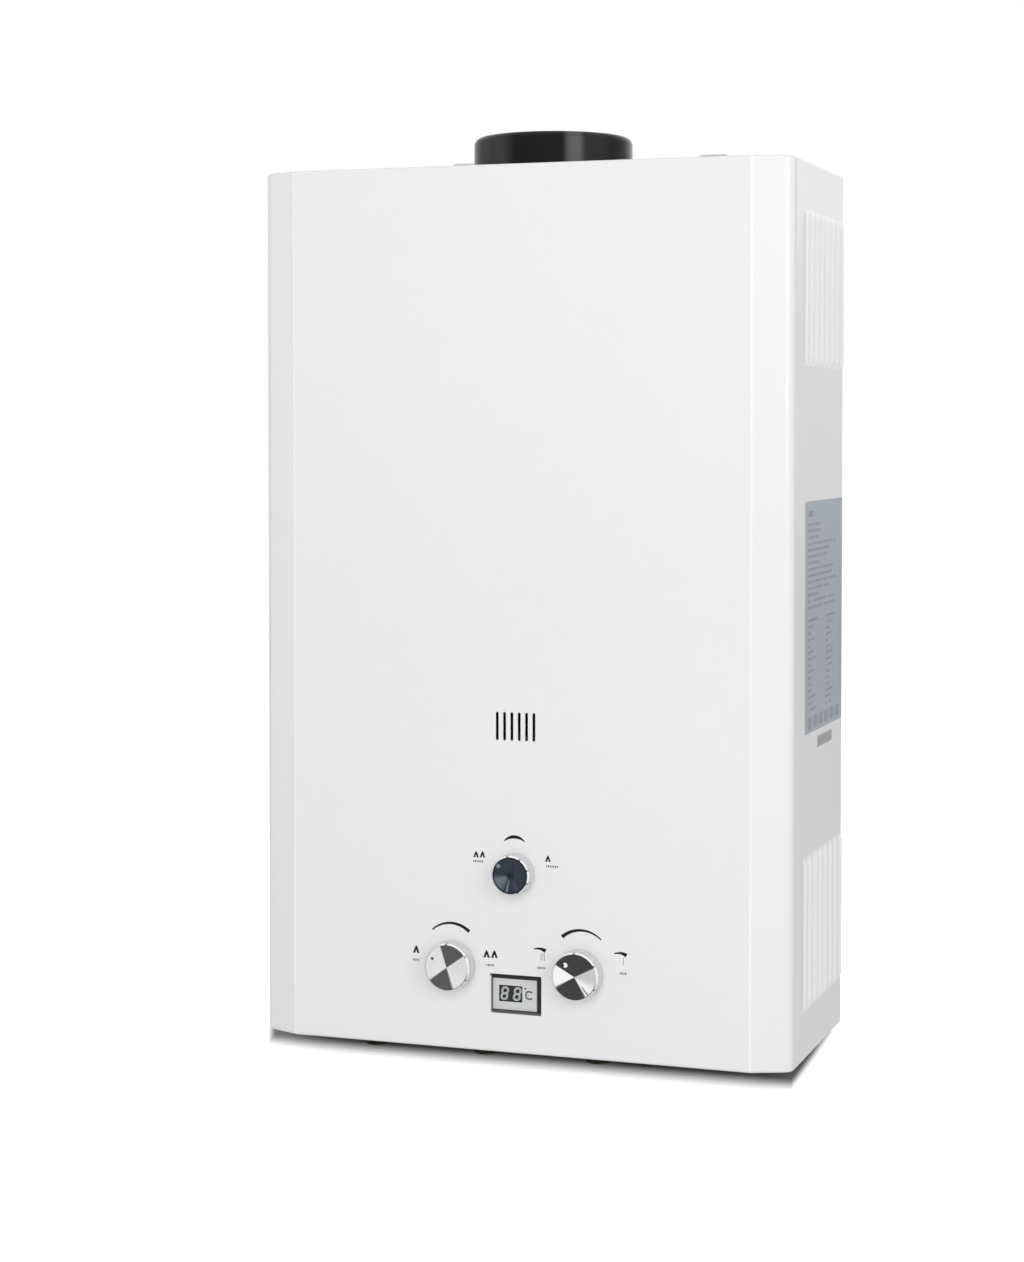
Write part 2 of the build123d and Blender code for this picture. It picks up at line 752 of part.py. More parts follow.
# Burner: a tray with a sight window, blades with ports, a manifold with nozzles
blade_xs = [(index - (blade_count - 1) / 2) * blade_pitch for index in range(blade_count)]
burner_half_w = burner_w / 2
burner_half_d = burner_d / 2
nozzle_z = manifold_z + manifold_h / 2
with BuildPart() as burner_frame:
    block(-burner_half_w, burner_half_w, mid_y - burner_half_d, mid_y + burner_half_d,
          burner_base_z, burner_top_z)
    block(-burner_half_w + burner_sheet, burner_half_w - burner_sheet, mid_y - burner_half_d + burner_sheet,
          mid_y + burner_half_d - burner_sheet, burner_base_z + burner_sheet, burner_top_z, Mode.SUBTRACT)
    block(-sight_w / 2, sight_w / 2, mid_y - burner_half_d, mid_y, slot_z - sight_h / 2,
          slot_z + sight_h / 2, Mode.SUBTRACT)
    with BuildSketch(facing_plane(0, mid_y, nozzle_z)):
        with Locations([(x, 0) for x in blade_xs]):
            Circle(nozzle_r + loose_gap)
        with Locations((electrode_x, electrode_z - nozzle_z)):
            Circle(electrode_r + fit_gap)
    extrude(amount=burner_d, mode=Mode.SUBTRACT)
    inlet_room = 3 * burner_sheet + blade_t
    block(-burner_half_w + inlet_room, burner_half_w - inlet_room, mid_y - burner_half_d / 2,
          mid_y + burner_half_d / 2, burner_base_z, burner_base_z + burner_sheet, Mode.SUBTRACT)
    blade_seat_h = blade_base_z - burner_base_z - burner_sheet
    for side in (-1, 1):
        rail_y = mid_y + side * (burner_half_d - burner_sheet - blade_seat_h / 2)
        block(-burner_half_w + burner_sheet, burner_half_w - burner_sheet, rail_y - blade_seat_h / 2,
              rail_y + blade_seat_h / 2, burner_base_z + burner_sheet, blade_base_z)
    with BuildSketch(facing_plane(electrode_x, mid_y - burner_half_d, electrode_z)):
        RectangleRounded(6 * electrode_r, 4 * electrode_r, electrode_r)
        Circle(electrode_r + fit_gap, mode=Mode.SUBTRACT)
    extrude(amount=bracket_t)
keep(burner_frame, "burner_frame")

with BuildPart() as burner_blade:
    block(-blade_t / 2, blade_t / 2, -blade_d / 2, blade_d / 2, 0, blade_h)
    fillet(burner_blade.edges().filter_by(Axis.Y).group_by(Axis.Z)[-1], blade_t / 3)
    with Locations((0, 0, blade_h)):
        with GridLocations(0, blade_port_pitch, 1, blade_port_count):
            Box(blade_t / 3, blade_port_w, 2 * blade_port_h, mode=Mode.SUBTRACT)
    with BuildSketch(facing_plane(0, -blade_d / 2, nozzle_z - blade_base_z)):
        Circle(nozzle_r * 0.6)
    extrude(amount=-blade_d / 2, mode=Mode.SUBTRACT)

with BuildPart() as burner_blades:
    with Locations([(x, mid_y, blade_base_z) for x in blade_xs]):
        add(burner_blade.part)
keep(burner_blades, "burner_blades")

manifold_rear_y = manifold_front_y + manifold_d
riser_y = (manifold_front_y + manifold_rear_y) / 2
season_top_z = season_z + season_valve_h / 2
with BuildPart() as gas_manifold:
    block(-manifold_w / 2, manifold_w / 2, manifold_front_y, manifold_rear_y, manifold_z,
          manifold_z + manifold_h)
    fillet(gas_manifold.edges().filter_by(Axis.X), manifold_d / 5)
    with BuildSketch(level_plane(manifold_z + manifold_h / 2, 0, riser_y)):
        Circle(riser_r)
    extrude(amount=-(manifold_z + manifold_h / 2 - season_top_z))
    with BuildSketch(facing_plane(0, manifold_rear_y, nozzle_z)):
        with Locations([(x, 0) for x in blade_xs]):
            Circle(nozzle_r * 0.5)
    extrude(amount=manifold_d / 2, mode=Mode.SUBTRACT)
keep(gas_manifold, "gas_manifold")

blade_front_y = mid_y - blade_d / 2
with BuildPart() as gas_nozzles:
    with BuildSketch(facing_plane(0, manifold_rear_y, nozzle_z)):
        with Locations([(x, 0) for x in blade_xs]):
            RegularPolygon(nozzle_r * 1.4, 6)
    extrude(amount=-nozzle_tip / 2)
    with BuildSketch(facing_plane(0, manifold_rear_y, nozzle_z)):
        with Locations([(x, 0) for x in blade_xs]):
            Circle(nozzle_r)
    extrude(amount=-(blade_front_y - manifold_rear_y - loose_gap))
keep(gas_nozzles, "gas_nozzles")

# Season valve: closes half of the burner, above the other two
season_front_y = manifold_front_y - season_step
with BuildPart() as season_valve:
    block(-season_valve_w / 2, season_valve_w / 2, season_front_y, season_front_y + season_valve_d,
          season_z - season_valve_h / 2, season_top_z)
    fillet(season_valve.edges().filter_by(Axis.Y), gas_valve_fillet)
    with BuildSketch(facing_plane(0, season_front_y, season_z)):
        Circle(boss_r)
    extrude(amount=season_front_y - boss_front_y)
    with BuildSketch(facing_plane(0, boss_front_y, season_z)):
        Circle(spindle_r + running_gap)
    extrude(amount=-spindle_in - running_gap, mode=Mode.SUBTRACT)
keep(season_valve, "season_valve")

gas_valve_left = gas_valve_right - gas_valve_w
gas_valve_top = knob_z + gas_valve_h / 2
gas_valve_base = knob_z - gas_valve_h / 2
gas_valve_front = valve_y - gas_valve_d / 2
gas_tube_x = gas_valve_left + 3 * pipe_r
season_side_y = season_front_y + season_valve_d / 2
rod_bore_depth = rod_tip_in + 1.25 * rod_travel
with BuildPart() as gas_valve:
    block(gas_valve_left, gas_valve_right, gas_valve_front, gas_valve_front + gas_valve_d,
          gas_valve_base, gas_valve_top)
    fillet(gas_valve.edges().filter_by(Axis.Y), gas_valve_fillet)
    with BuildSketch(facing_plane(-knob_x, gas_valve_front, knob_z)):
        Circle(boss_r)
    extrude(amount=gas_valve_front - boss_front_y)
    with BuildSketch(facing_plane(-knob_x, boss_front_y, knob_z)):
        Circle(spindle_r + running_gap)
    extrude(amount=-spindle_in - running_gap, mode=Mode.SUBTRACT)
    with BuildSketch(side_plane(gas_valve_right, valve_y, knob_z)):
        Circle(rod_r + running_gap)
    extrude(amount=-rod_bore_depth, mode=Mode.SUBTRACT)
keep(gas_valve, "gas_valve")

gas_tube_route = [
    (gas_tube_x, season_side_y, gas_valve_top + fit_gap),
    (gas_tube_x, season_side_y, season_z),
    (-season_valve_w / 2 - fit_gap, season_side_y, season_z),
]
gas_tube = tube(gas_tube_route, pipe_r, [outlet_bend_r])
keep(gas_tube, "gas_tube")

water_valve_right = water_valve_left + water_valve_w
cavity_left = water_valve_right - diaphragm_cavity_w
water_boss_root = valve_y - water_valve_r + boss_sink
with BuildPart() as water_valve:
    with BuildSketch(side_plane(water_valve_left, valve_y, knob_z)):
        Circle(water_valve_r)
    extrude(amount=water_valve_w)
    fillet(water_valve.edges().group_by(Axis.X)[0], gas_valve_fillet)
    with BuildSketch(side_plane(cavity_left, valve_y, knob_z)):
        Circle(diaphragm_cavity_r)
    extrude(amount=diaphragm_cavity_w, mode=Mode.SUBTRACT)
    with BuildSketch(facing_plane(knob_x, water_boss_root, knob_z)):
        Circle(boss_r)
    extrude(amount=water_boss_root - boss_front_y)
    with BuildSketch(facing_plane(knob_x, boss_front_y, knob_z)):
        Circle(spindle_r + running_gap)
    extrude(amount=-spindle_in - running_gap, mode=Mode.SUBTRACT)
    with BuildSketch(side_plane(water_valve_left, valve_y, knob_z)):
        Circle(rod_r + running_gap)
    extrude(amount=water_valve_w, mode=Mode.SUBTRACT)
    with BuildSketch(side_plane(water_valve_right, valve_y, knob_z)):
        with PolarLocations(valve_bolt_circle_r, valve_bolt_count):
            Circle(valve_bolt_r + fit_gap)
    extrude(amount=-valve_bolt_head_h * 3, mode=Mode.SUBTRACT)
keep(water_valve, "water_valve")

with BuildPart() as diaphragm:
    with BuildSketch(side_plane(water_valve_right, valve_y, knob_z)):
        Circle(water_valve_r)
        with PolarLocations(valve_bolt_circle_r, valve_bolt_count):
            Circle(valve_bolt_r + fit_gap, mode=Mode.SUBTRACT)
    extrude(amount=diaphragm_t)
keep(diaphragm, "diaphragm")

valve_cover_left = water_valve_right + diaphragm_t
valve_cover_right = valve_cover_left + valve_cover_w
cover_cavity_w = valve_cover_w / 2
relief_tip_z = floor_z - relief_drop
with BuildPart() as valve_cover:
    with BuildSketch(side_plane(valve_cover_left, valve_y, knob_z)):
        Circle(water_valve_r)
    extrude(amount=valve_cover_w)
    fillet(valve_cover.edges().group_by(Axis.X)[-1], gas_valve_fillet / 2)
    with BuildSketch(side_plane(valve_cover_left, valve_y, knob_z)):
        Circle(diaphragm_cavity_r - diaphragm_t)
    extrude(amount=cover_cavity_w, mode=Mode.SUBTRACT)
    with BuildSketch(side_plane(valve_cover_left, valve_y, knob_z)):
        with PolarLocations(valve_bolt_circle_r, valve_bolt_count):
            Circle(valve_bolt_r + fit_gap)
    extrude(amount=valve_cover_w, mode=Mode.SUBTRACT)
    with BuildSketch(level_plane(relief_tip_z, relief_x, valve_y)):
        Circle(relief_r)
    extrude(amount=knob_z - water_valve_r * 0.9 - relief_tip_z)
keep(valve_cover, "valve_cover")

with BuildPart() as valve_bolts:
    with BuildSketch(side_plane(valve_cover_right, valve_y, knob_z)):
        with PolarLocations(valve_bolt_circle_r, valve_bolt_count):
            RegularPolygon(valve_bolt_head_r, 6)
    extrude(amount=valve_bolt_head_h)
    with BuildSketch(side_plane(valve_cover_right, valve_y, knob_z)):
        with PolarLocations(valve_bolt_circle_r, valve_bolt_count):
            Circle(valve_bolt_r)
    extrude(amount=-(valve_cover_w + diaphragm_t + 2 * valve_bolt_head_h))
keep(valve_bolts, "valve_bolts")

# Push rod: its plate lies on the diaphragm, its collar beside the switch lever
rod_right = water_valve_right - loose_gap
rod_collar_x = lever_x + lever_t / 2 + loose_gap
with BuildPart() as push_rod:
    with BuildSketch(side_plane(rod_right, valve_y, knob_z)):
        Circle(rod_plate_r)
    extrude(amount=-rod_plate_t)
    with BuildSketch(side_plane(rod_right, valve_y, knob_z)):
        Circle(rod_r)
    extrude(amount=-(rod_right - gas_valve_right + rod_tip_in))
    with BuildSketch(side_plane(rod_collar_x, valve_y, knob_z)):
        Circle(rod_collar_r)
    extrude(amount=rod_collar_t)
keep(push_rod, "push_rod")

switch_left = gas_valve_right + fit_gap
switch_right = switch_left + switch_w
switch_base = knob_z + rod_collar_r + switch_gap
switch_top = lever_pivot_z + cheek_h / 2
with BuildPart() as flow_switch:
    block(switch_left, switch_right, valve_y - switch_d / 2, valve_y + switch_d / 2, switch_base, switch_top)
    for side in (-1, 1):
        cheek_y = valve_y + side * (lever_w / 2 + cheek_gap)
        block(switch_right, switch_right + cheek_reach, cheek_y, cheek_y + side * cheek_t,
              lever_pivot_z - cheek_h / 2, switch_top)
    with BuildSketch(facing_plane(lever_x, valve_y, lever_pivot_z)):
        Circle(lever_pin_r + running_gap)
    extrude(amount=switch_d, both=True, mode=Mode.SUBTRACT)
keep(flow_switch, "flow_switch")

with BuildPart() as switch_lever:
    block(lever_x - lever_t / 2, lever_x + lever_t / 2, valve_y - lever_w / 2, valve_y + lever_w / 2,
          lever_tip_z, lever_pivot_z)
    with BuildSketch(facing_plane(lever_x, valve_y, lever_pivot_z)):
        Circle(lever_barrel_r)
    extrude(amount=lever_w / 2, both=True)
    with BuildSketch(facing_plane(lever_x, valve_y, lever_pivot_z)):
        Circle(lever_pin_r)
    extrude(amount=lever_w / 2 + cheek_gap + cheek_t, both=True)
keep(switch_lever, "switch_lever")

with BuildPart() as gas_solenoid:
    with BuildSketch(side_plane(gas_valve_left - fit_gap, valve_y, knob_z)):
        Circle(solenoid_r)
    extrude(amount=-solenoid_w)
    fillet(gas_solenoid.edges().group_by(Axis.X)[0], solenoid_end_t)
    with BuildSketch(side_plane(gas_valve_left - fit_gap, valve_y, knob_z)):
        Circle(plunger_r + running_gap)
    extrude(amount=-(solenoid_w - solenoid_end_t), mode=Mode.SUBTRACT)
keep(gas_solenoid, "gas_solenoid")

plunger_right = gas_valve_left - fit_gap - plunger_gap
with BuildPart() as solenoid_plunger:
    with BuildSketch(side_plane(plunger_right, valve_y, knob_z)):
        Circle(plunger_r)
    extrude(amount=-plunger_w)
    chamfer(solenoid_plunger.edges().group_by(Axis.X)[-1], plunger_r / 5)
keep(solenoid_plunger, "solenoid_plunger")


# Knobs: a tapered grip on a flatted spindle, with a spun disc set in its face
def spindle_profile(radius, gap):
    Circle(radius + gap)
    with Locations((0, radius - spindle_flat + gap + radius)):
        Rectangle(4 * radius, 2 * radius, mode=Mode.SUBTRACT)


def make_spindle(x, z):
    root_lift = -(case_d + boss_front_y) - spindle_in
    tip_lift = knob_lift + knob_bore - loose_gap
    with BuildPart() as made:
        with BuildSketch(front_plane(x, z, root_lift)):
            Circle(spindle_r)
        extrude(amount=-root_lift)
        with BuildSketch(front_plane(x, z, 0)):
            spindle_profile(spindle_r, 0)
        extrude(amount=tip_lift)
        chamfer(made.edges().group_by(Axis.Y)[0], spindle_r / 8)
    return made


def make_knob(x, z, base_r, grips, first_grip):
    front_r = base_r - knob_taper
    face_r = front_r - face_rim
    with BuildPart() as made:
        with BuildSketch(front_plane(x, z, knob_lift)):
            Circle(base_r)
        with BuildSketch(front_plane(x, z, knob_lift + knob_depth)):
            Circle(front_r)
        loft()
        fillet(made.edges().group_by(Axis.Y)[0], knob_edge_r)
        with BuildSketch(front_plane(x, z, knob_lift + knob_depth)):
            Circle(face_r)
        extrude(amount=-face_recess, mode=Mode.SUBTRACT)
        with BuildSketch(front_plane(x, z, knob_lift + knob_depth)):
            with PolarLocations(base_r - grip_d / 2 - knob_taper / 2, grips, first_grip):
                Rectangle(2 * grip_d, grip_w)
        extrude(amount=-grip_l, mode=Mode.SUBTRACT)
        with BuildSketch(front_plane(x, z, knob_lift)):
            spindle_profile(spindle_r, running_gap)
        extrude(amount=knob_bore, mode=Mode.SUBTRACT)
    return made


def make_face(x, z, base_r, pointer_angle):
    face_r = base_r - knob_taper - face_rim - fit_gap
    floor_lift = knob_lift + knob_depth - face_recess
    dot_r = face_r - pointer_inset + pointer_r
    with BuildPart() as made:
        with BuildSketch(front_plane(x, z, floor_lift)):
            Circle(face_r)
        extrude(amount=face_t)
        chamfer(made.edges().group_by(Axis.Y)[0], face_t / 3)
        with BuildSketch(front_plane(x, z, floor_lift + face_t)):
            with Locations((dot_r * cos(radians(pointer_angle)), dot_r * sin(radians(pointer_angle)))):
                Circle(pointer_r)
        extrude(amount=-face_t / 2, mode=Mode.SUBTRACT)
    return made


for control, control_x, control_z, control_r, control_pointer, grips, first_grip in (
    ("gas", -knob_x, knob_z, knob_r, gas_pointer, grip_count, grip_start),
    ("water", knob_x, knob_z, knob_r, water_pointer, grip_count, grip_start),
    ("season", 0.0, season_z, season_knob_r, season_pointer, season_grip_count, season_grip_start),
):
    keep(make_spindle(control_x, control_z), f"{control}_spindle")
    keep(make_knob(control_x, control_z, control_r, grips, first_grip), f"{control}_knob")
    keep(make_face(control_x, control_z, control_r, control_pointer), f"{control}_knob_face")


# Connections: threaded nipples with a hexagon above the base plate
def make_nipple(x, y, top_z):
    drop_z = floor_z - nipple_drop
    hex_base = top_z - nipple_hex_h
    with BuildPart() as made:
        with BuildSketch(level_plane(drop_z, x, y)):
            Circle(thread_r)
        extrude(amount=thread_top_z - drop_z)
        chamfer(made.edges().group_by(Axis.Z)[0], thread_depth)
        with BuildSketch(level_plane(thread_top_z, x, y)):
            Circle(shank_r)
        extrude(amount=hex_base - thread_top_z)
        with BuildSketch(level_plane(hex_base, x, y)):
            RegularPolygon(nipple_hex / 2, 6, major_radius=False)
        extrude(amount=nipple_hex_h)
        with BuildSketch(level_plane(drop_z, x, y)):
            Circle(nipple_bore_r)
        extrude(amount=top_z - drop_z - plate_t, mode=Mode.SUBTRACT)
    return made


water_valve_foot = knob_z - water_valve_r - fit_gap
hot_outlet = make_nipple(hot_x, valve_y, hot_z + nipple_hex_h)
keep(hot_outlet, "hot_outlet")
gas_inlet = make_nipple(gas_x, valve_y, gas_valve_base - fit_gap)
keep(gas_inlet, "gas_inlet")
cold_inlet = make_nipple(cold_x, valve_y, water_valve_foot)
keep(cold_inlet, "cold_inlet")

filter_r = nipple_bore_r - fit_gap
filter_base_z = floor_z - nipple_drop + filter_rim_h
with BuildPart() as inlet_filter:
    with BuildSketch(level_plane(filter_base_z, cold_x, valve_y)):
        Circle(filter_r)
        Circle(filter_r - filter_rim_w, mode=Mode.SUBTRACT)
    extrude(amount=filter_rim_h + filter_mesh_t)
    with BuildSketch(level_plane(filter_base_z + filter_rim_h, cold_x, valve_y)):
        Circle(filter_r)
        with GridLocations(filter_mesh_pitch, filter_mesh_pitch, filter_mesh_count, filter_mesh_count):
            Rectangle(filter_mesh_hole, filter_mesh_hole, mode=Mode.SUBTRACT)
    extrude(amount=filter_mesh_t)
keep(inlet_filter, "inlet_filter")

with BuildPart() as pipe_grommets:
    for grommet_x in (hot_x, gas_x, cold_x):
        with BuildSketch(level_plane(base_z - grommet_t / 2 + base_t / 2, grommet_x, valve_y)):
            Circle(grommet_r + grommet_lip)
            Circle(shank_r + fit_gap, mode=Mode.SUBTRACT)
        extrude(amount=grommet_t)
        with BuildSketch(level_plane(base_z, grommet_x, valve_y)):
            Circle(grommet_r + 2 * grommet_lip)
            Circle(grommet_r - 2 * loose_gap, mode=Mode.SUBTRACT)
        extrude(amount=base_t, mode=Mode.SUBTRACT)
keep(pipe_grommets, "pipe_grommets")

with BuildPart() as union_nuts:
    for nut_x, nut_y, nut_z in (
        (outlet_pipe_x, valve_y, hot_z + nipple_hex_h),
        (coil_start_x, mid_y, union_top_z - union_h),
        (gas_tube_x, season_side_y, gas_valve_top),
    ):
        with BuildSketch(level_plane(nut_z + fit_gap, nut_x, nut_y)):
            RegularPolygon(union_hex / 2, 6, major_radius=False)
            Circle(pipe_r + fit_gap, mode=Mode.SUBTRACT)
        extrude(amount=union_h)
keep(union_nuts, "union_nuts")

# Relief cap: turns on the valve cover's spigot, below the base plate
with BuildPart() as relief_cap:
    with BuildSketch(level_plane(relief_tip_z - relief_cap_end, relief_x, valve_y)):
        Circle(relief_cap_r)
        Rectangle(relief_wing_w, relief_wing_t)
    extrude(amount=relief_cap_h)
    fillet(relief_cap.edges().group_by(Axis.Z)[0], relief_cap_end * 0.4)
    with BuildSketch(level_plane(relief_tip_z, relief_x, valve_y)):
        Circle(relief_r + running_gap)
    extrude(amount=relief_cap_h, mode=Mode.SUBTRACT)
keep(relief_cap, "relief_cap")

# Battery box with its door, hinge pin, cells and contacts
with BuildPart() as battery_box:
    block(battery_x - box_half_w, battery_x + box_half_w, battery_y - box_half_d, battery_y + box_half_d,
          box_base_z, box_top_z)
    fillet(battery_box.edges().filter_by(Axis.Z), battery_wall)
    block(battery_x - box_half_w + battery_wall, battery_x + box_half_w - battery_wall,
          battery_y - box_half_d + battery_wall, battery_y + box_half_d - battery_wall,
          box_base_z, box_top_z - battery_wall, Mode.SUBTRACT)
    for side in (-1, 1):
        ear_outer = battery_x + side * box_half_w
        block(ear_outer - side * hinge_ear_w, ear_outer, hinge_y - hinge_r, hinge_y + hinge_r,
              hinge_z - hinge_r, box_base_z + battery_wall)
    with BuildSketch(side_plane(battery_x, hinge_y, hinge_z)):
        Circle(hinge_pin_r + running_gap)
    extrude(amount=2 * box_half_w, both=True, mode=Mode.SUBTRACT)
    block(battery_x - box_half_w + hinge_ear_w, battery_x + box_half_w - hinge_ear_w,
          hinge_y - hinge_r - loose_gap, hinge_y + 2 * hinge_r, hinge_z - 2 * hinge_r,
          hinge_z + hinge_r + loose_gap, Mode.SUBTRACT)
keep(battery_box, "battery_box")

door_front_y = battery_y - box_half_d
with BuildPart() as battery_door:
    block(battery_x - box_half_w + hinge_ear_w + loose_gap, battery_x + box_half_w - hinge_ear_w - loose_gap,
          door_front_y, hinge_y, door_base_z, door_top_z)
    block(battery_x - box_half_w, battery_x + box_half_w, door_front_y, hinge_y - hinge_r - 4 * loose_gap,
          door_base_z, door_top_z)
    with BuildSketch(side_plane(battery_x, hinge_y, hinge_z)):
        Circle(hinge_r)
    extrude(amount=box_half_w - hinge_ear_w - loose_gap, both=True)
    ridge_y = door_front_y + finger_ridge_t
    block(battery_x - finger_ridge_w / 2, battery_x + finger_ridge_w / 2, ridge_y,
          ridge_y + finger_ridge_t, door_base_z - finger_ridge_h, door_base_z)
    with BuildSketch(side_plane(battery_x, hinge_y, hinge_z)):
        Circle(hinge_pin_r)
    extrude(amount=box_half_w, both=True)
keep(battery_door, "battery_door")

with BuildPart() as door_contact:
    block(battery_x - cell_pitch / 2 - cell_button_r, battery_x + cell_pitch / 2 + cell_button_r,
          battery_y - cell_button_r, battery_y + cell_button_r, door_top_z, door_top_z + contact_t)
keep(door_contact, "door_contact")

with BuildPart() as battery_contacts:
    for side in (-1, 1):
        contact_x = battery_x + side * cell_pitch / 2
        block(contact_x - cell_button_r, contact_x + cell_button_r, battery_y - cell_button_r,
              battery_y + cell_button_r, box_top_z - battery_wall - contact_t, box_top_z - battery_wall)
keep(battery_contacts, "battery_contacts")

with BuildPart() as battery_cells:
    with BuildSketch(level_plane(cell_base_z, battery_x, battery_y)):
        with GridLocations(cell_pitch, 0, 2, 1):
            Circle(cell_r)
    extrude(amount=cell_h)
    with BuildSketch(level_plane(cell_top_z, battery_x, battery_y)):
        with GridLocations(cell_pitch, 0, 2, 1):
            Circle(cell_button_r)
    extrude(amount=cell_button_h)
keep(battery_cells, "battery_cells")

# Controller on the back plate, with a lid and two leads
controller_rear = -plate_t - fit_gap
controller_front = controller_rear - controller_d
controller_left = controller_x - controller_w / 2
controller_right = controller_x + controller_w / 2
controller_base = controller_z - controller_h / 2
controller_top = controller_z + controller_h / 2
with BuildPart() as controller_box:
    block(controller_left, controller_right, controller_front, controller_rear, controller_base,
          controller_top)
    fillet(controller_box.edges().filter_by(Axis.Y), 2 * controller_wall)
    block(controller_left + controller_wall, controller_right - controller_wall, controller_front,
          controller_rear - controller_wall, controller_base + controller_wall,
          controller_top - controller_wall, Mode.SUBTRACT)
    for lug_z in (controller_base - controller_lug / 2, controller_top + controller_lug / 2):
        block(controller_x - controller_lug, controller_x + controller_lug,
              controller_rear - controller_wall, controller_rear, lug_z - controller_lug / 2,
              lug_z + controller_lug / 2)
keep(controller_box, "controller_box")

with BuildPart() as controller_lid:
    block(controller_left, controller_right, controller_front - controller_wall - fit_gap,
          controller_front - fit_gap, controller_base, controller_top)
    fillet(controller_lid.edges().filter_by(Axis.Y), 2 * controller_wall)
    for lead_x, lead_z in ((-controller_w / 4, controller_h / 4), (-controller_w / 4, -controller_h / 4)):
        with BuildSketch(facing_plane(controller_x + lead_x, controller_front, controller_z + lead_z)):
            Circle(2 * lead_r)
        extrude(amount=3 * controller_wall)
keep(controller_lid, "controller_lid")

with BuildPart() as controller_board:
    board_y = controller_rear - controller_wall - loose_gap
    block(controller_left + controller_wall + loose_gap, controller_right - controller_wall - loose_gap,
          board_y - board_t, board_y, controller_base + controller_wall + loose_gap,
          controller_top - controller_wall - loose_gap)
    block(controller_x - coil_block / 2, controller_x + coil_block / 2, board_y - board_t - coil_block_d,
          board_y - board_t, controller_z, controller_z + coil_block)
    block(controller_x + chip_x, controller_x + chip_x + chip_w, board_y - board_t - chip_d,
          board_y - board_t, controller_z + chip_z, controller_z + chip_z + chip_w)
keep(controller_board, "controller_board")

socket_y = controller_front - 3 * controller_wall - fit_gap
socket_x = controller_x - controller_w / 4
burner_front = mid_y - burner_half_d
electrode_front_y = burner_front - electrode_length / 2
lead_far_y = electrode_front_y - 3 * lead_bend_r / 2
spark_lead_route = [
    (socket_x, socket_y, controller_z + controller_h / 4),
    (socket_x, lead_far_y, controller_z + controller_h / 4),
    (socket_x, lead_far_y, electrode_z),
    (electrode_x, lead_far_y, electrode_z),
    (electrode_x, electrode_front_y - fit_gap, electrode_z),
]
spark_lead = tube(spark_lead_route, lead_r, [lead_bend_r] * 3)

with BuildPart() as spark_electrode:
    with BuildSketch(facing_plane(electrode_x, electrode_front_y + electrode_length, electrode_z)):
        Circle(electrode_r)
    extrude(amount=electrode_length)
    with BuildSketch(facing_plane(electrode_x, electrode_front_y + electrode_length, electrode_z)):
        Circle(electrode_wire_r)
    extrude(amount=-electrode_length / 2)
keep(spark_electrode, "spark_electrode")

# Display: a deep frame in the panel, a lens, and a board with the glass block
display_half_w = display_w / 2 - fit_gap
display_half_h = display_h / 2 - fit_gap
display_rear = -case_d + display_depth
lens_rear = -case_d + display_recess + lens_t
with BuildPart() as display_frame:
    block(-display_half_w, display_half_w, -case_d, display_rear, display_z - display_half_h,
          display_z + display_half_h)
    flange_half_w = display_half_w + display_flange
    flange_half_h = display_half_h + display_flange
    block(-flange_half_w, flange_half_w, -case_d + sheet + fit_gap, -case_d + 3 * sheet,
          display_z - flange_half_h, display_z + flange_half_h)
    block(-display_half_w + display_wall, display_half_w - display_wall, -case_d, display_rear,
          display_z - display_half_h + display_wall, display_z + display_half_h - display_wall,
          Mode.SUBTRACT)
keep(display_frame, "display_frame")

lens_half_w = display_half_w - display_wall - fit_gap
lens_half_h = display_half_h - display_wall - fit_gap
with BuildPart() as display_lens:
    block(-lens_half_w, lens_half_w, -case_d + display_recess, lens_rear, display_z - lens_half_h,
          display_z + lens_half_h)
keep(display_lens, "display_lens")

with BuildPart() as display_board:
    block(-lens_half_w, lens_half_w, display_rear - board_t, display_rear, display_z - lens_half_h,
          display_z + lens_half_h)
    block(-lcd_w / 2, lcd_w / 2, lens_rear + fit_gap, display_rear - board_t, display_z - lcd_h / 2,
          display_z + lcd_h / 2)
keep(display_board, "display_board")

lead_low_z = base_z + base_t + 4 * lead_bend_r / 2
lead_side_x = battery_x - box_half_w - 2 * lead_bend_r
display_lead_route = [
    (0.0, display_rear + fit_gap, display_z),
    (0.0, display_rear + 2 * lead_bend_r, display_z),
    (0.0, display_rear + 2 * lead_bend_r, lead_low_z),
    (lead_side_x, display_rear + 2 * lead_bend_r, lead_low_z),
    (lead_side_x, controller_front - 4 * lead_bend_r, lead_low_z),
    (lead_side_x, controller_front - 4 * lead_bend_r, controller_z - controller_h / 4),
    (socket_x, controller_front - 4 * lead_bend_r, controller_z - controller_h / 4),
    (socket_x, socket_y, controller_z - controller_h / 4),
]
display_lead = tube(display_lead_route, lead_r, [lead_bend_r * 0.9] * 6)

with BuildPart() as inner_leads:
    add(spark_lead.part)
    add(display_lead.part)
keep(inner_leads, "inner_leads")

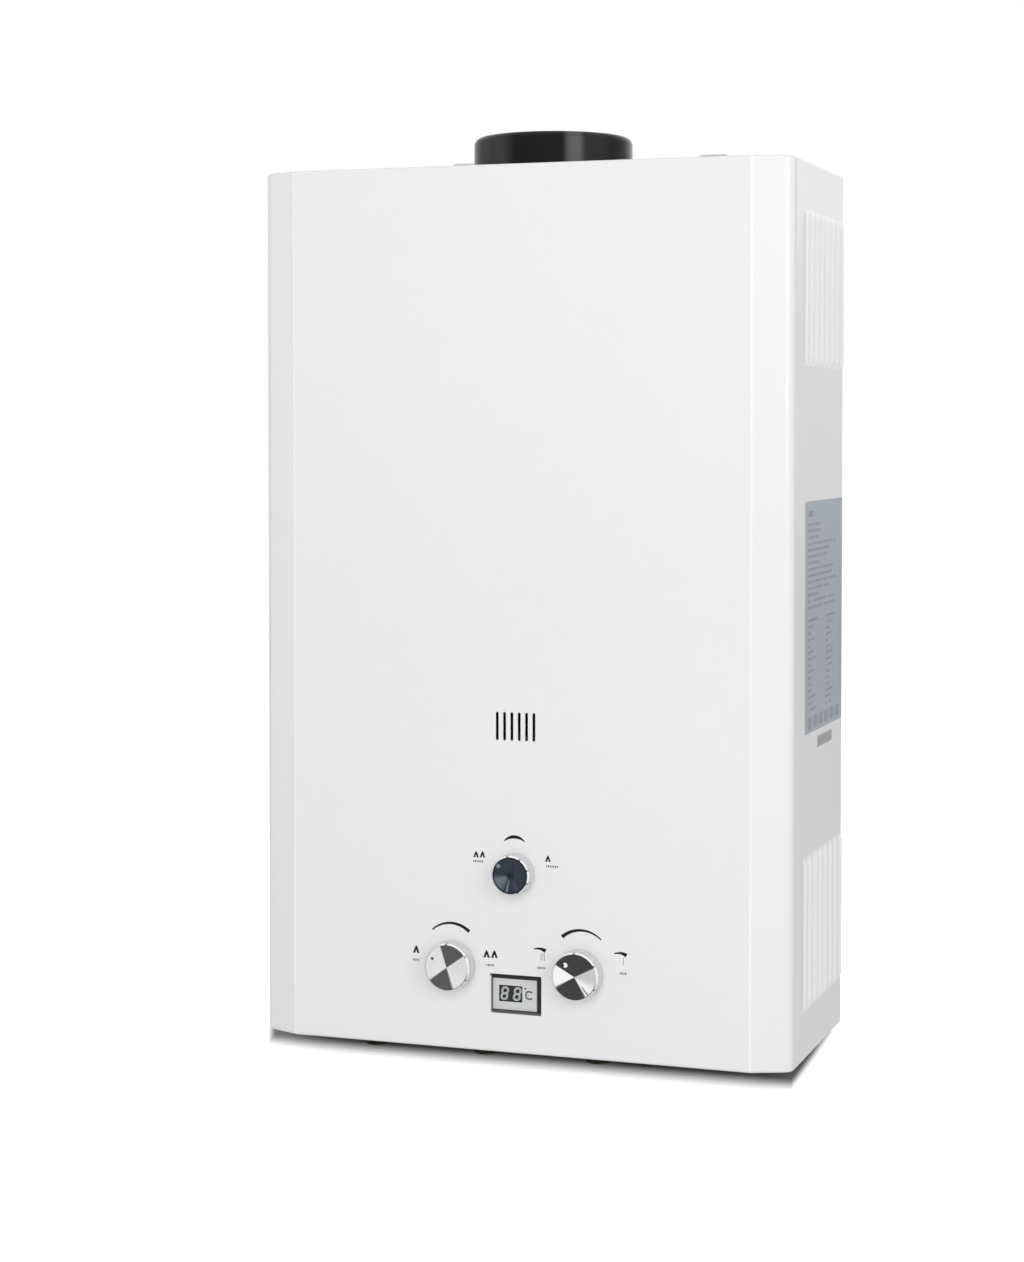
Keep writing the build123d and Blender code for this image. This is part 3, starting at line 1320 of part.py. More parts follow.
# Sensor on the outlet pipe and overheat switch on the chamber
sensor_z = floor_z + sensor_lift
overheat_z = coil_first_z + coil_rise * 1.5
clip_head_y = tube_ys[-1] - pipe_r - 0.8 * clip_wall
with BuildPart() as heat_sensors:
    with BuildSketch(level_plane(sensor_z, outlet_pipe_x, tube_ys[-1])):
        Circle(pipe_r + clip_wall)
        Circle(pipe_r + fit_gap, mode=Mode.SUBTRACT)
    extrude(amount=clip_h)
    with BuildSketch(facing_plane(outlet_pipe_x, clip_head_y, sensor_z + clip_h / 2)):
        RegularPolygon(clip_head_r, 6)
    extrude(amount=clip_head_l)
    with BuildSketch(side_plane(-half_w - fit_gap, mid_y, overheat_z)):
        RectangleRounded(overheat_w, overheat_h, overheat_h / 4)
    extrude(amount=-bracket_t)
    with BuildSketch(side_plane(-half_w - fit_gap, mid_y, overheat_z)):
        Circle(overheat_r)
    extrude(amount=-overheat_lift)
keep(heat_sensors, "heat_sensors")

# Brackets that carry the burner, exchanger and valves on the back plate
with BuildPart() as side_brackets:
    for carried_half_w, carried_z in ((hood_box_w / 2, hood_base_z), (burner_half_w, burner_base_z)):
        for side in (-1, 1):
            inner = side * (carried_half_w + fit_gap)
            outer = inner + side * bracket_t
            low = carried_z + bracket_lift
            high = low + bracket_h
            block(inner, outer, mid_y - bracket_reach, -plate_t - fit_gap, low, high)
            block(inner, outer + side * bracket_foot, -plate_t - fit_gap - bracket_t, -plate_t - fit_gap,
                  low, high)
keep(side_brackets, "side_brackets")

valve_rear_y = valve_y + water_valve_r
web_y = valve_rear_y + fit_gap
bracket_low = knob_z - valve_bracket_h / 2
bracket_high = knob_z + valve_bracket_h / 2
with BuildPart() as valve_bracket:
    block(gas_valve_left, valve_cover_right, web_y, web_y + bracket_t, bracket_low, bracket_high)
    for leg_x in (gas_valve_left, valve_cover_right - bracket_t):
        block(leg_x, leg_x + bracket_t, web_y, -plate_t - fit_gap, bracket_low, bracket_high)
    block(gas_valve_left - bracket_foot, gas_valve_left, -plate_t - fit_gap - bracket_t,
          -plate_t - fit_gap, bracket_low, bracket_high)
    block(valve_cover_right, valve_cover_right + bracket_foot, -plate_t - fit_gap - bracket_t,
          -plate_t - fit_gap, bracket_low, bracket_high)
keep(valve_bracket, "valve_bracket")

# Data film and tick patch on the right side
with BuildPart() as side_film:
    label_y = label_rear - label_w / 2
    with BuildSketch(side_plane(case_w / 2, label_y, label_z)):
        RectangleRounded(label_w, label_h, label_r)
    extrude(amount=label_t)
    with BuildSketch(side_plane(case_w / 2, tick_y, tick_z)):
        RectangleRounded(tick_w, tick_h, label_r / 2)
    extrude(amount=label_t)
keep(side_film, "side_film")
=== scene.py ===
import json
import math

import bmesh
import bpy
import numpy as np
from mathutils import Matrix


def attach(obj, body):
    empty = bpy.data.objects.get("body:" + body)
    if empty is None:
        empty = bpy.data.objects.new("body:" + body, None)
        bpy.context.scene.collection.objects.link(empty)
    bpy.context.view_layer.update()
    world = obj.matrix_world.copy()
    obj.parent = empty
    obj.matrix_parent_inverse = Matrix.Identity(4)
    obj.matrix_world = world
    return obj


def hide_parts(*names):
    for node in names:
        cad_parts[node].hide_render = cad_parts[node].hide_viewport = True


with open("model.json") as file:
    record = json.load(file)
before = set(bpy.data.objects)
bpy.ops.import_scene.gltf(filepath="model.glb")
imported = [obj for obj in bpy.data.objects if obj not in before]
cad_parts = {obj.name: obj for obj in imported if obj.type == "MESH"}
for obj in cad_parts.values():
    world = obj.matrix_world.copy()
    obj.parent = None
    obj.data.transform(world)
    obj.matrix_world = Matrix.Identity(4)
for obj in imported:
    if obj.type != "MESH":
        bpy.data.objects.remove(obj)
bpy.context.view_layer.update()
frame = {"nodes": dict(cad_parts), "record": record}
nodes = frame["nodes"]
mm = 0.001

cameraPlace = {
    "position": (0.6574, -2.0725, 0.1440),  # metres, from the case's ten visible corners
    "yaw": 19.31,  # degrees to the left of straight at the wall
    "pitch": -1.554,
    "lens": 72.66,  # mm on the 36 mm long side
    "shiftUp": -0.1070,
}

cameraData = bpy.data.cameras.new("camera")
cameraData.lens = cameraPlace["lens"]
cameraData.sensor_width = 36.0
cameraData.shift_y = cameraPlace["shiftUp"]
camera = bpy.data.objects.new("camera", cameraData)
camera.location = cameraPlace["position"]
camera.rotation_euler = (math.radians(90 + cameraPlace["pitch"]), 0, math.radians(cameraPlace["yaw"]))
bpy.context.scene.collection.objects.link(camera)
bpy.context.scene.camera = camera
print("camera: set")


class Signal:
    # one shader socket; arithmetic on it adds the Math nodes that it needs
    def __init__(self, paint, socket):
        self.paint = paint
        self.socket = socket

    def math(self, operation, *values):
        return self.paint.node("ShaderNodeMath", {"operation": operation}, values)

    def __add__(self, other):
        return self.math("ADD", self, other)

    def __radd__(self, other):
        return self.math("ADD", other, self)

    def __sub__(self, other):
        return self.math("SUBTRACT", self, other)

    def __rsub__(self, other):
        return self.math("SUBTRACT", other, self)

    def __mul__(self, other):
        return self.math("MULTIPLY", self, other)

    def __rmul__(self, other):
        return self.math("MULTIPLY", other, self)

    def __truediv__(self, other):
        return self.math("DIVIDE", self, other)

    def __lt__(self, other):
        return self.math("LESS_THAN", self, other)

    def __gt__(self, other):
        return self.math("GREATER_THAN", self, other)

    def __abs__(self):
        return self.math("ABSOLUTE", self)


class Paint:
    # one material: a Principled shader, and the nodes that feed it
    def __init__(self, name, **fixed):
        self.material = bpy.data.materials.new(name)
        self.material.use_nodes = True
        self.tree = self.material.node_tree
        self.shader = self.tree.nodes["Principled BSDF"]
        for socket, value in fixed.items():
            self.shader.inputs[socket.replace("_", " ")].default_value = value

    def node(self, kind, settings=None, values=(), out=0):
        # a node of this type, with its settings made first, then its sockets filled or linked
        made = self.tree.nodes.new(kind)
        for key, value in (settings or {}).items():
            setattr(made, key, value)
        for key, value in values.items() if isinstance(values, dict) else enumerate(values):
            if isinstance(value, Signal):
                self.tree.links.new(value.socket, made.inputs[key])
            else:
                made.inputs[key].default_value = value
        return Signal(self, made.outputs[out])

    def place(self):
        # the point's place on the object, in metres, as three numbers
        point = self.node("ShaderNodeTexCoord", out="Object")
        parts = self.node("ShaderNodeSeparateXYZ", None, [point]).socket.node
        return [Signal(self, parts.outputs[axis]) for axis in range(3)]

    def stretched(self, scale, centre=(0, 0, 0)):
        # Object coordinates about a centre, scaled along each axis
        point = self.node("ShaderNodeTexCoord", out="Object")
        moved = self.node("ShaderNodeVectorMath", {"operation": "SUBTRACT"}, [point, centre])
        return self.node("ShaderNodeVectorMath", {"operation": "MULTIPLY"}, [moved, scale])

    def noise(self, scale, detail=2.0, roughness=0.5, vector=None):
        vector = vector or self.node("ShaderNodeTexCoord", out="Object")
        return self.node("ShaderNodeTexNoise", None,
                         {"Vector": vector, "Scale": scale, "Detail": detail, "Roughness": roughness})

    def vector(self, x, y, z):
        return self.node("ShaderNodeCombineXYZ", None, [x, y, z])

    def mono(self, level, blueShare=1):
        # one level as a colour
        blue = level if blueShare == 1 else level * blueShare
        return self.node("ShaderNodeCombineColor", None, [level, level, blue])

    def blend(self, factor, first, second):
        # the first colour where the factor is 0, the second where it is 1
        return self.node("ShaderNodeMix", {"data_type": "RGBA"}, {0: factor, 6: first, 7: second}, 2)

    def between(self, value, low, high):
        # 0 below low, 1 above high, and a smooth step from one to the other
        return self.node("ShaderNodeMapRange", {"interpolation_type": "SMOOTHSTEP"}, [value, low, high])

    def inside(self, value, low, high):
        return (value > low) * (value < high)

    def line(self, value, middle, full, faded):
        # 1 within full of the middle, fading to 0 at faded
        return 1 - self.between(abs(value - middle), full, faded)

    def span(self, value, low, high):
        # a value from 0 to 1 spread from low to high
        return value * (high - low) + low

    def feed(self, **links):
        for socket, value in links.items():
            self.tree.links.new(value.socket, self.shader.inputs[socket.replace("_", " ")])

    def bump(self, height, strength, distance):
        # distance in mm
        values = {"Height": height, "Strength": strength, "Distance": distance * mm}
        self.feed(Normal=self.node("ShaderNodeBump", None, values))


def metres(values):
    return [value * mm for value in values]


def grey(level):
    return (level, level, level, 1)


def mixed(level, mask, other):
    # one level laid over another where the mask is 1
    return level * (1 - mask) + mask * other


finishes = {}

enamelValues = {
    # painted light: a darker painted shade on the side's flats, a lighter lit louvre bank, and a painted
    # highlight on the rib tops and along the front creases
    "colour": (0.88, 0.88, 0.885, 1), "clouded": (0.865, 0.867, 0.873, 1), "edge": grey(0.97),
    "flat": (0.76, 0.76, 0.77, 1), "litLouvres": (0.89, 0.89, 0.895, 1),
    "cloud": 6.0, "mottle": 30.0, "rough": (0.26, 0.34), "peel": 420, "bump": (0.12, 0.04),
    "crease": 189.5, "creaseHalf": 1.3,  # mm: where the front bends to the strips
    "creaseHighlightShare": 0.8, "creaseRear": -180.0,
    "side": (219.0, 219.6), "raised": 220.1,  # mm from the middle: flat of the side, top of a rib
    "bank": (251.5, 59.0, 61.0, -142.0, -1.0),  # mm: height, half height and its fade, and depth of the louvres
}
paint = Paint("whiteEnamel", Roughness=0.3, Coat_Weight=0.25, Coat_Roughness=0.12)
x, y, z = paint.place()
cloud = paint.noise(enamelValues["cloud"], 3.0)
creaseHalf = enamelValues["creaseHalf"] * mm
# a painted highlight along each front crease, stopping short of the rear
fold = paint.line(abs(x), enamelValues["crease"] * mm, creaseHalf / 3, creaseHalf)
fold = fold * (y < enamelValues["creaseRear"] * mm)
bankZ, bankFull, bankFaded, bankFront, bankRear = metres(enamelValues["bank"])
bank = paint.line(abs(z), bankZ, bankFull, bankFaded)
bank = bank * paint.inside(y, bankFront, bankRear)
side = paint.between(abs(x), *metres(enamelValues["side"]))
sprayed = paint.blend(cloud, enamelValues["colour"], enamelValues["clouded"])
# painted shade on the side's flats, painted light on the louvre bank and a painted highlight on its rib tops
sprayed = paint.blend(side * (1 - bank), sprayed, enamelValues["flat"])
sprayed = paint.blend(bank * side, sprayed, enamelValues["litLouvres"])
sprayed = paint.blend(bank * (abs(x) > enamelValues["raised"] * mm), sprayed, enamelValues["edge"])
paint.feed(Base_Color=paint.blend(fold * enamelValues["creaseHighlightShare"], sprayed, enamelValues["edge"]),
           Roughness=paint.span(paint.noise(enamelValues["mottle"]), *enamelValues["rough"]))
paint.bump(paint.noise(enamelValues["peel"], 1.0), *enamelValues["bump"])
finishes["white_enamel"] = paint

zincValues = {
    "bright": (0.70, 0.71, 0.73, 1), "dull": (0.50, 0.515, 0.53, 1), "spangle": 90.0, "grain": 350.0,
    "grainShare": 0.3, "rough": (0.33, 0.55), "pits": 160.0, "bump": (0.15, 0.08),
}
paint = Paint("zincCoat", Metallic=0.85, Roughness=0.45)
cells = paint.node("ShaderNodeTexVoronoi", None, {"Scale": zincValues["spangle"]}, "Color")
shade = paint.node("ShaderNodeSeparateColor", None, [cells])
fleck = mixed(shade, zincValues["grainShare"], paint.noise(zincValues["grain"], 3.0))
paint.feed(Base_Color=paint.blend(fleck, zincValues["dull"], zincValues["bright"]),
           Roughness=paint.span(shade, *zincValues["rough"]))
paint.bump(paint.noise(zincValues["pits"], 3.0), *zincValues["bump"])
finishes["galvanised"] = paint

brushValues = {"stretch": 40, "cloud": 18.0, "cloudShare": 0.4, "spread": 0.1, "bump": (0.12, 0.05)}


def brushed(name, colour, dark, rough, along, lines):
    # fine lines run along the axis whose scale is lowest
    paint = Paint(name, Metallic=1.0, Roughness=rough)
    scale = [lines, lines, lines]
    scale[along] = lines / brushValues["stretch"]
    streak = paint.noise(1.0, 3.0, 0.6, paint.stretched(scale))
    wear = mixed(streak, brushValues["cloudShare"], paint.noise(brushValues["cloud"], 2.0))
    paint.feed(Base_Color=paint.blend(wear, dark, colour),
               Roughness=paint.span(streak, rough - brushValues["spread"], rough + brushValues["spread"]))
    paint.bump(streak, *brushValues["bump"])
    return paint


metalValues = {  # name, colour, dark, roughness, axis, lines per metre
    "stainless": ("brushedStainless", (0.72, 0.71, 0.69, 1), (0.52, 0.51, 0.49, 1), 0.32, 0, 900.0),
    "zinc_steel": ("brightZinc", (0.78, 0.78, 0.76, 1), (0.58, 0.58, 0.55, 1), 0.30, 1, 600.0),
    "contact_steel": ("nickelPlate", (0.80, 0.79, 0.75, 1), (0.64, 0.63, 0.60, 1), 0.24, 2, 500.0),
}
for slot, values in metalValues.items():
    finishes[slot] = brushed(*values)

flueValues = {
    "colour": (0.004, 0.004, 0.005, 1), "worn": (0.012, 0.012, 0.013, 1), "wear": 40.0, "rough": (0.16, 0.28),
    "peel": 500.0, "peelShare": 0.04, "bump": (0.35, 0.3),
    "beads": (354.5, 358.5), "beadHalf": (0.18, 0.6),  # mm: heights and half widths of the two rolled lines
    "centre": (0.0, -94.0),  # mm
    # painted highlights, streaks of light painted into the colour: heading, full and faded half width in
    # degrees, and how much lighter
    "sheen": ((33.0, 2.5, 9.0, 0.075), (46.0, 8.0, 22.0, 0.020), (-29.0, 7.0, 20.0, 0.026)),
}
paint = Paint("stoveEnamel", Roughness=0.22, Specular_IOR_Level=0.09, Coat_Weight=0.05, Coat_Roughness=0.10)
x, y, z = paint.place()
wear = paint.noise(flueValues["wear"], 4.0, 0.6)
bead = 0
for height in flueValues["beads"]:
    bead = bead + paint.line(z, height * mm, *metres(flueValues["beadHalf"]))
flueX, flueY = metres(flueValues["centre"])
heading = x.math("ARCTAN2", x - flueX, flueY - y) * (180 / math.pi)
# painted highlights: lighter streaks by heading round the collar
sheen = 0
for middle, full, faded, lighter in flueValues["sheen"]:
    sheen = sheen + paint.line(heading, middle, full, faded) * lighter
bare = paint.blend(wear, flueValues["colour"], flueValues["worn"])
paint.feed(Base_Color=paint.blend(sheen, bare, grey(1.0)),
           Roughness=paint.span(wear, *flueValues["rough"]))
paint.bump(bead + paint.noise(flueValues["peel"], 1.0) * flueValues["peelShare"], *flueValues["bump"])
finishes["black_enamel"] = paint

copperValues = {
    "clean": (0.80, 0.46, 0.32, 1), "aged": (0.42, 0.21, 0.13, 1), "scorched": (0.16, 0.10, 0.10, 1),
    "scorch": (-60.0, -15.0),  # mm: darkest below, clean above
    "wander": (30.0, 30.0),  # the line's noise and how far it moves it, mm
    "patch": 22.0, "patchEdge": (0.40, 0.68), "agedShare": 0.7, "scorchShare": 0.6,
    "rough": (0.28, 0.48), "dents": 260.0, "bump": (0.1, 0.08),
}
paint = Paint("drawnCopper", Metallic=1.0, Roughness=0.35)
x, y, z = paint.place()
age = paint.between(paint.noise(copperValues["patch"], 4.0, 0.65), *copperValues["patchEdge"])
waves, reach = copperValues["wander"]
wandering = z + paint.noise(waves, 2.0) * (reach * mm)
scorch = 1 - paint.between(wandering, *metres(copperValues["scorch"]))
oxide = paint.blend(age * copperValues["agedShare"], copperValues["clean"], copperValues["aged"])
paint.feed(Base_Color=paint.blend(scorch * copperValues["scorchShare"], oxide, copperValues["scorched"]),
           Roughness=paint.span(age, *copperValues["rough"]))
paint.bump(paint.noise(copperValues["dents"], 3.0), *copperValues["bump"])
finishes["copper"] = paint

brassValues = {  # the patches' scale, their edges and how far they reach the aged colour
    "brass": {
        "name": "castBrass", "clean": (0.82, 0.66, 0.36, 1), "aged": (0.52, 0.38, 0.18, 1),
        "fixed": 0.35, "patch": 40.0, "patchEdge": (0.38, 0.66), "agedShare": 0.6, "rough": (0.26, 0.44),
        "grain": 700.0, "bump": (0.12, 0.06),
    },
    # a darkened copy of the brass, a painted shade, so that the nipples' tips look as if they lie in the shadow
    # under the case
    "dark_brass": {
        "name": "shadeDarkenedBrass", "clean": (0.19, 0.165, 0.125, 1), "aged": (0.12, 0.105, 0.085, 1),
        "fixed": 0.45, "patch": 60.0, "patchEdge": (0.36, 0.66), "agedShare": 1.0, "rough": (0.36, 0.56),
        "grain": 700.0, "bump": (0.12, 0.06),
    },
}
for slot, value in brassValues.items():
    paint = Paint(value["name"], Metallic=1.0, Roughness=value["fixed"])
    age = paint.between(paint.noise(value["patch"], 4.0, 0.6), *value["patchEdge"])
    paint.feed(Base_Color=paint.blend(age * value["agedShare"], value["clean"], value["aged"]),
               Roughness=paint.span(age, *value["rough"]))
    paint.bump(paint.noise(value["grain"], 2.0), *value["bump"])
    finishes[slot] = paint

castValues = {
    "skin": (0.66, 0.66, 0.67, 1), "shadow": (0.46, 0.46, 0.47, 1), "grain": 420.0, "grainEdge": (0.3, 0.7),
    "rough": (0.40, 0.60), "bump": (0.35, 0.12),
}
paint = Paint("castAluminium", Metallic=0.9, Roughness=0.5)
grain = paint.noise(castValues["grain"], 4.0, 0.7)
crest = paint.between(grain, *castValues["grainEdge"])
paint.feed(Base_Color=paint.blend(crest, castValues["shadow"], castValues["skin"]),
           Roughness=paint.span(grain, *castValues["rough"]))
paint.bump(grain, *castValues["bump"])
finishes["cast_aluminium"] = paint

knobPlaces = {"gas": (-53.0, -283.0, 19.2), "water": (53.0, -283.0, 19.2), "season": (0.0, -207.0, 15.8)}
knobValues = {  # places above: X, Z and radius, mm
    # painted light: a darker painted shade on the flank and on the lip, a painted glint on part of the lip, and
    # painted shade in the grip grooves on the lit side
    "colour": (0.80, 0.80, 0.805, 1), "shaded": (0.78, 0.78, 0.785, 1), "flank": (0.64, 0.64, 0.65, 1),
    "glint": grey(0.98), "lip": (0.70, 0.70, 0.705, 1), "groove": grey(0.05),
    "lipY": (-200.7, -200.1), "flankInset": (0.5, 0.3),  # mm
    "arcs": {"gas": (-12, 108), "water": (-12, 118), "season": (-22, 132)},  # degrees that shine
    "grips": {"gas": (31.0, 60.0), "water": (31.0, 60.0), "season": (18.0, 40.0)},  # first and pitch
    "arcSoft": 9.0, "grooveArc": (-72, 106), "grooveSoft": 4.0,  # degrees
    "grooveHalf": 0.95, "grooveDepth": 1.45, "grooveShadeShare": 0.92,  # mm, mm, how dark
    "cloud": 50.0, "mottle": 120.0, "rough": (0.23, 0.31), "grain": 900.0, "bump": (0.05, 0.02),
}


def around(paint, centreX, centreZ):
    # polar coordinates about an axis that points to the viewer: degrees from +X, and metres
    x, y, z = paint.place()
    right = x - centreX * mm
    up = z - centreZ * mm
    angle = up.math("ARCTAN2", up, right) * (180 / math.pi)
    reach = up.math("SQRT", right * right + up * up)
    return right, up, y, angle, reach


def spot(paint, right, up, heading, distance, size):
    # 1 inside a small disc at a heading in degrees and a distance in mm, 0 outside it
    across = right - distance * mm * math.cos(math.radians(heading))
    above = up - distance * mm * math.sin(math.radians(heading))
    away = up.math("SQRT", across * across + above * above)
    return 1 - paint.between(away, size * mm * 0.8, size * mm * 1.1)


def sector(paint, angle, low, high, soft):
    # 1 between two headings, with soft ends
    return paint.between(angle, low - soft, low + soft) * (1 - paint.between(angle, high - soft, high + soft))


for control, (centreX, centreZ, radius) in knobPlaces.items():
    paint = Paint(control + "KnobPlastic", Roughness=0.28, Coat_Weight=0.3, Coat_Roughness=0.08)
    right, up, depth, angle, reach = around(paint, centreX, centreZ)
    # painted shade on the flank and lip, a painted glint on the lip's arc and painted shade in the grooves
    lip = 1 - paint.between(depth, *metres(knobValues["lipY"]))
    flank = paint.between(reach, *((radius - inset) * mm for inset in knobValues["flankInset"])) * (1 - lip)
    glint = lip * sector(paint, angle, *knobValues["arcs"][control], knobValues["arcSoft"])
    first, pitch = knobValues["grips"][control]
    offset = angle.math("FLOORED_MODULO", angle + (720 - first + pitch / 2), pitch) - pitch / 2
    groove = abs(offset) * reach < math.degrees(knobValues["grooveHalf"] * mm)
    groove = groove * (reach > (radius - knobValues["grooveDepth"]) * mm) * lip
    groove = groove * sector(paint, angle, *knobValues["grooveArc"], knobValues["grooveSoft"])
    plain = paint.blend(paint.noise(knobValues["cloud"], 2.0), knobValues["colour"], knobValues["shaded"])
    side = paint.blend(flank, paint.blend(lip, plain, knobValues["lip"]), knobValues["flank"])
    lit = paint.blend(glint, side, knobValues["glint"])
    paint.feed(Base_Color=paint.blend(groove * knobValues["grooveShadeShare"], lit, knobValues["groove"]),
               Roughness=paint.span(paint.noise(knobValues["mottle"]), *knobValues["rough"]))
    paint.bump(paint.noise(knobValues["grain"], 1.0), *knobValues["bump"])
    finishes[control + "Knob"] = paint
finishes["knob_plastic"] = finishes["gasKnob"]


mouldValues = {"cloud": 35.0, "spread": 0.08, "bump": (0.3, 0.04)}


def moulded(name, colour, light, rough, grain):
    # moulded plastic or rubber: a fine even grain and slight cloudiness
    paint = Paint(name, Roughness=rough)
    cloud = paint.noise(mouldValues["cloud"], 3.0)
    fine = paint.noise(grain, 2.0)
    paint.feed(Base_Color=paint.blend(cloud, colour, light),
               Roughness=paint.span(fine, rough - mouldValues["spread"], rough + mouldValues["spread"]))
    paint.bump(fine, *mouldValues["bump"])
    return paint


mouldedValues = {  # name, colour, cloud, roughness, grains per metre
    "black_plastic": ("blackPlastic", (0.018, 0.018, 0.019, 1), (0.034, 0.034, 0.036, 1), 0.45, 1400.0),
    "grey_plastic": ("greyPlastic", (0.40, 0.41, 0.42, 1), (0.46, 0.47, 0.48, 1), 0.5, 1400.0),
    "rubber": ("mouldedRubber", grey(0.020), (0.045, 0.044, 0.043, 1), 0.72, 900.0),
    "silicone_lead": ("siliconeLead", (0.50, 0.05, 0.04, 1), (0.40, 0.04, 0.03, 1), 0.5, 1100.0),
    "ceramic": ("glazedCeramic", (0.86, 0.84, 0.79, 1), (0.78, 0.75, 0.69, 1), 0.18, 300.0),
}
for slot, values in mouldedValues.items():
    finishes[slot] = moulded(*values)

boardValues = {
    "mask": (0.03, 0.16, 0.07, 1), "track": (0.07, 0.27, 0.12, 1), "pitch": 260.0, "gap": (0.03, 0.08),
    "mottle": 200.0, "rough": (0.25, 0.45), "bump": (0.2, 0.05),
}
paint = Paint("circuitBoard", Roughness=0.35)
maze = paint.node("ShaderNodeTexVoronoi", {"distance": "CHEBYCHEV", "feature": "DISTANCE_TO_EDGE"},
                  {"Scale": boardValues["pitch"]}, "Distance")
between = paint.between(maze, *boardValues["gap"])
paint.feed(Base_Color=paint.blend(between, boardValues["track"], boardValues["mask"]),
           Roughness=paint.span(paint.noise(boardValues["mottle"]), *boardValues["rough"]))
paint.bump(between, *boardValues["bump"])
finishes["circuit_board"] = paint

cellValues = {
    "sleeve": (0.03, 0.035, 0.05, 1), "band": (0.62, 0.36, 0.16, 1), "metal": (0.70, 0.70, 0.69, 1),
    "bandZ": (-300.5, -286.6), "footZ": -346.6,  # mm
    "mottle": 90.0, "rough": (0.22, 0.34),
}
paint = Paint("cellSleeve", Roughness=0.3)
x, y, z = paint.place()
bandFoot, bandTop = metres(cellValues["bandZ"])
band = paint.inside(z, bandFoot, bandTop)
bare = (z < cellValues["footZ"] * mm) + (z > bandTop)
sleeve = paint.blend(band, cellValues["sleeve"], cellValues["band"])
paint.feed(Base_Color=paint.blend(bare, sleeve, cellValues["metal"]), Metallic=bare,
           Roughness=paint.span(paint.noise(cellValues["mottle"]), *cellValues["rough"]))
finishes["cell_wrap"] = paint

lensValues = {
    "colour": (0.62, 0.63, 0.64, 1), "light": (0.71, 0.72, 0.73, 1), "scale": (2600.0, 400.0, 400.0),
    "rough": (0.20, 0.30),
}
paint = Paint("displayLens", Roughness=0.25, Coat_Weight=0.6, Coat_Roughness=0.04)
fine = paint.noise(1.0, 2.0, 0.5, paint.stretched(lensValues["scale"]))
paint.feed(Base_Color=paint.blend(fine, lensValues["colour"], lensValues["light"]),
           Roughness=paint.span(fine, *lensValues["rough"]))
finishes["display_lens"] = paint
print("finishes:", len(finishes), "plain ones")


def spun(paint, centreX, centreZ, value):
    # turned metal: fine rings round the axis, and spokes away from it
    right, up, depth, angle, reach = around(paint, centreX, centreZ)
    turned = angle.math("FLOORED_MODULO", angle + 360, 360)
    outward, sideways = value["rings"]
    rings = paint.noise(1.0, 2.0, 0.7, paint.vector(reach * outward, turned * sideways, 0))
    sideways, outward, place = value["spokes"]
    spokes = paint.noise(1.0, 3.0, 0.6, paint.vector(turned * sideways, reach * outward, place))
    return right, up, angle, turned, reach, rings, spokes


spunValues = {  # both large faces; headings in degrees, lengths in mm
    # how fast the noise changes outward and round the axis, for the spokes round it and outward
    "rings": (5200, 0.02), "spokes": (0.30, 90, 3.0),
    "rough": (0.20, 0.32), "bump": (0.12, 0.03),
    # painted reflections: a sweep of light and a pale side; the crescent is a painted shadow inside the rim
    "sweep": (-42.0, -4.0), "sweepGrain": 0.05, "paleSide": (108, 212, 4.0),
    "crescent": (-68, -14, 6.0), "crescentInset": (2.2, 1.7), "crescentLevel": 0.30, "blueShare": 1.01,
}
faceValues = {
    "gas": {
        "dark": 0.075, "grain": 0.10, "left": 0.80, "right": (0.76, 0.82),
        "shadows": ((35, 108, 2.5), (216, 288, 5.0)), "rays": (), "spots": ((152.0, 13.7, 1.35, 0.10),),
    },
    "water": {
        "dark": 0.035, "grain": 0.07, "left": 0.98, "right": (0.62, 0.95),
        "shadows": ((27, 151, 3.0), (209, 302, 5.0)),
        # heading, half width, level and where each starts
        "rays": ((-55.5, 1.2, 0.97, 1.0), (-51.0, 1.4, 0.05, 9.5), (-47.5, 0.9, 0.30, 7.0)),
        # heading, distance, size and level
        "spots": ((130.0, 11.6, 2.0, 0.97), (137.0, 12.6, 1.0, 0.03)),
    },
}
for control, value in faceValues.items():
    centreX, centreZ, radius = knobPlaces[control]
    paint = Paint(control + "Face", Metallic=1.0, Roughness=0.26)
    right, up, angle, turned, reach, rings, spokes = spun(paint, centreX, centreZ, spunValues)
    # the face's colour is painted reflections over the turned grain: light at the right and left, dark sectors
    # and rays, and a crescent of painted shadow at the lower right of the rim
    sweep = 1 - paint.between(angle, *spunValues["sweep"])
    level = paint.span(sweep, *value["right"]) + (rings - 0.5) * spunValues["sweepGrain"]
    level = mixed(level, sector(paint, turned, *spunValues["paleSide"]), value["left"] + rings * 0.02)
    dark = (rings * 0.4 + spokes - 0.35) * value["grain"] + value["dark"]
    for shadow in value["shadows"]:
        level = mixed(level, sector(paint, turned, *shadow), dark)
    for heading, width, shade, start in value["rays"]:
        ray = paint.line(angle, heading, width * 0.6, width * 1.3) * (reach > start * mm)
        level = mixed(level, ray, shade)
    rim = paint.between(reach, *((radius - inset) * mm for inset in spunValues["crescentInset"]))
    level = mixed(level, sector(paint, angle, *spunValues["crescent"]) * rim, spunValues["crescentLevel"])
    for heading, distance, size, shade in value["spots"]:
        level = mixed(level, spot(paint, right, up, heading, distance, size), shade)
    paint.feed(Base_Color=paint.mono(level, spunValues["blueShare"]),
               Roughness=paint.span(rings, *spunValues["rough"]))
    paint.bump(rings, *spunValues["bump"])
    finishes[control + "Face"] = paint

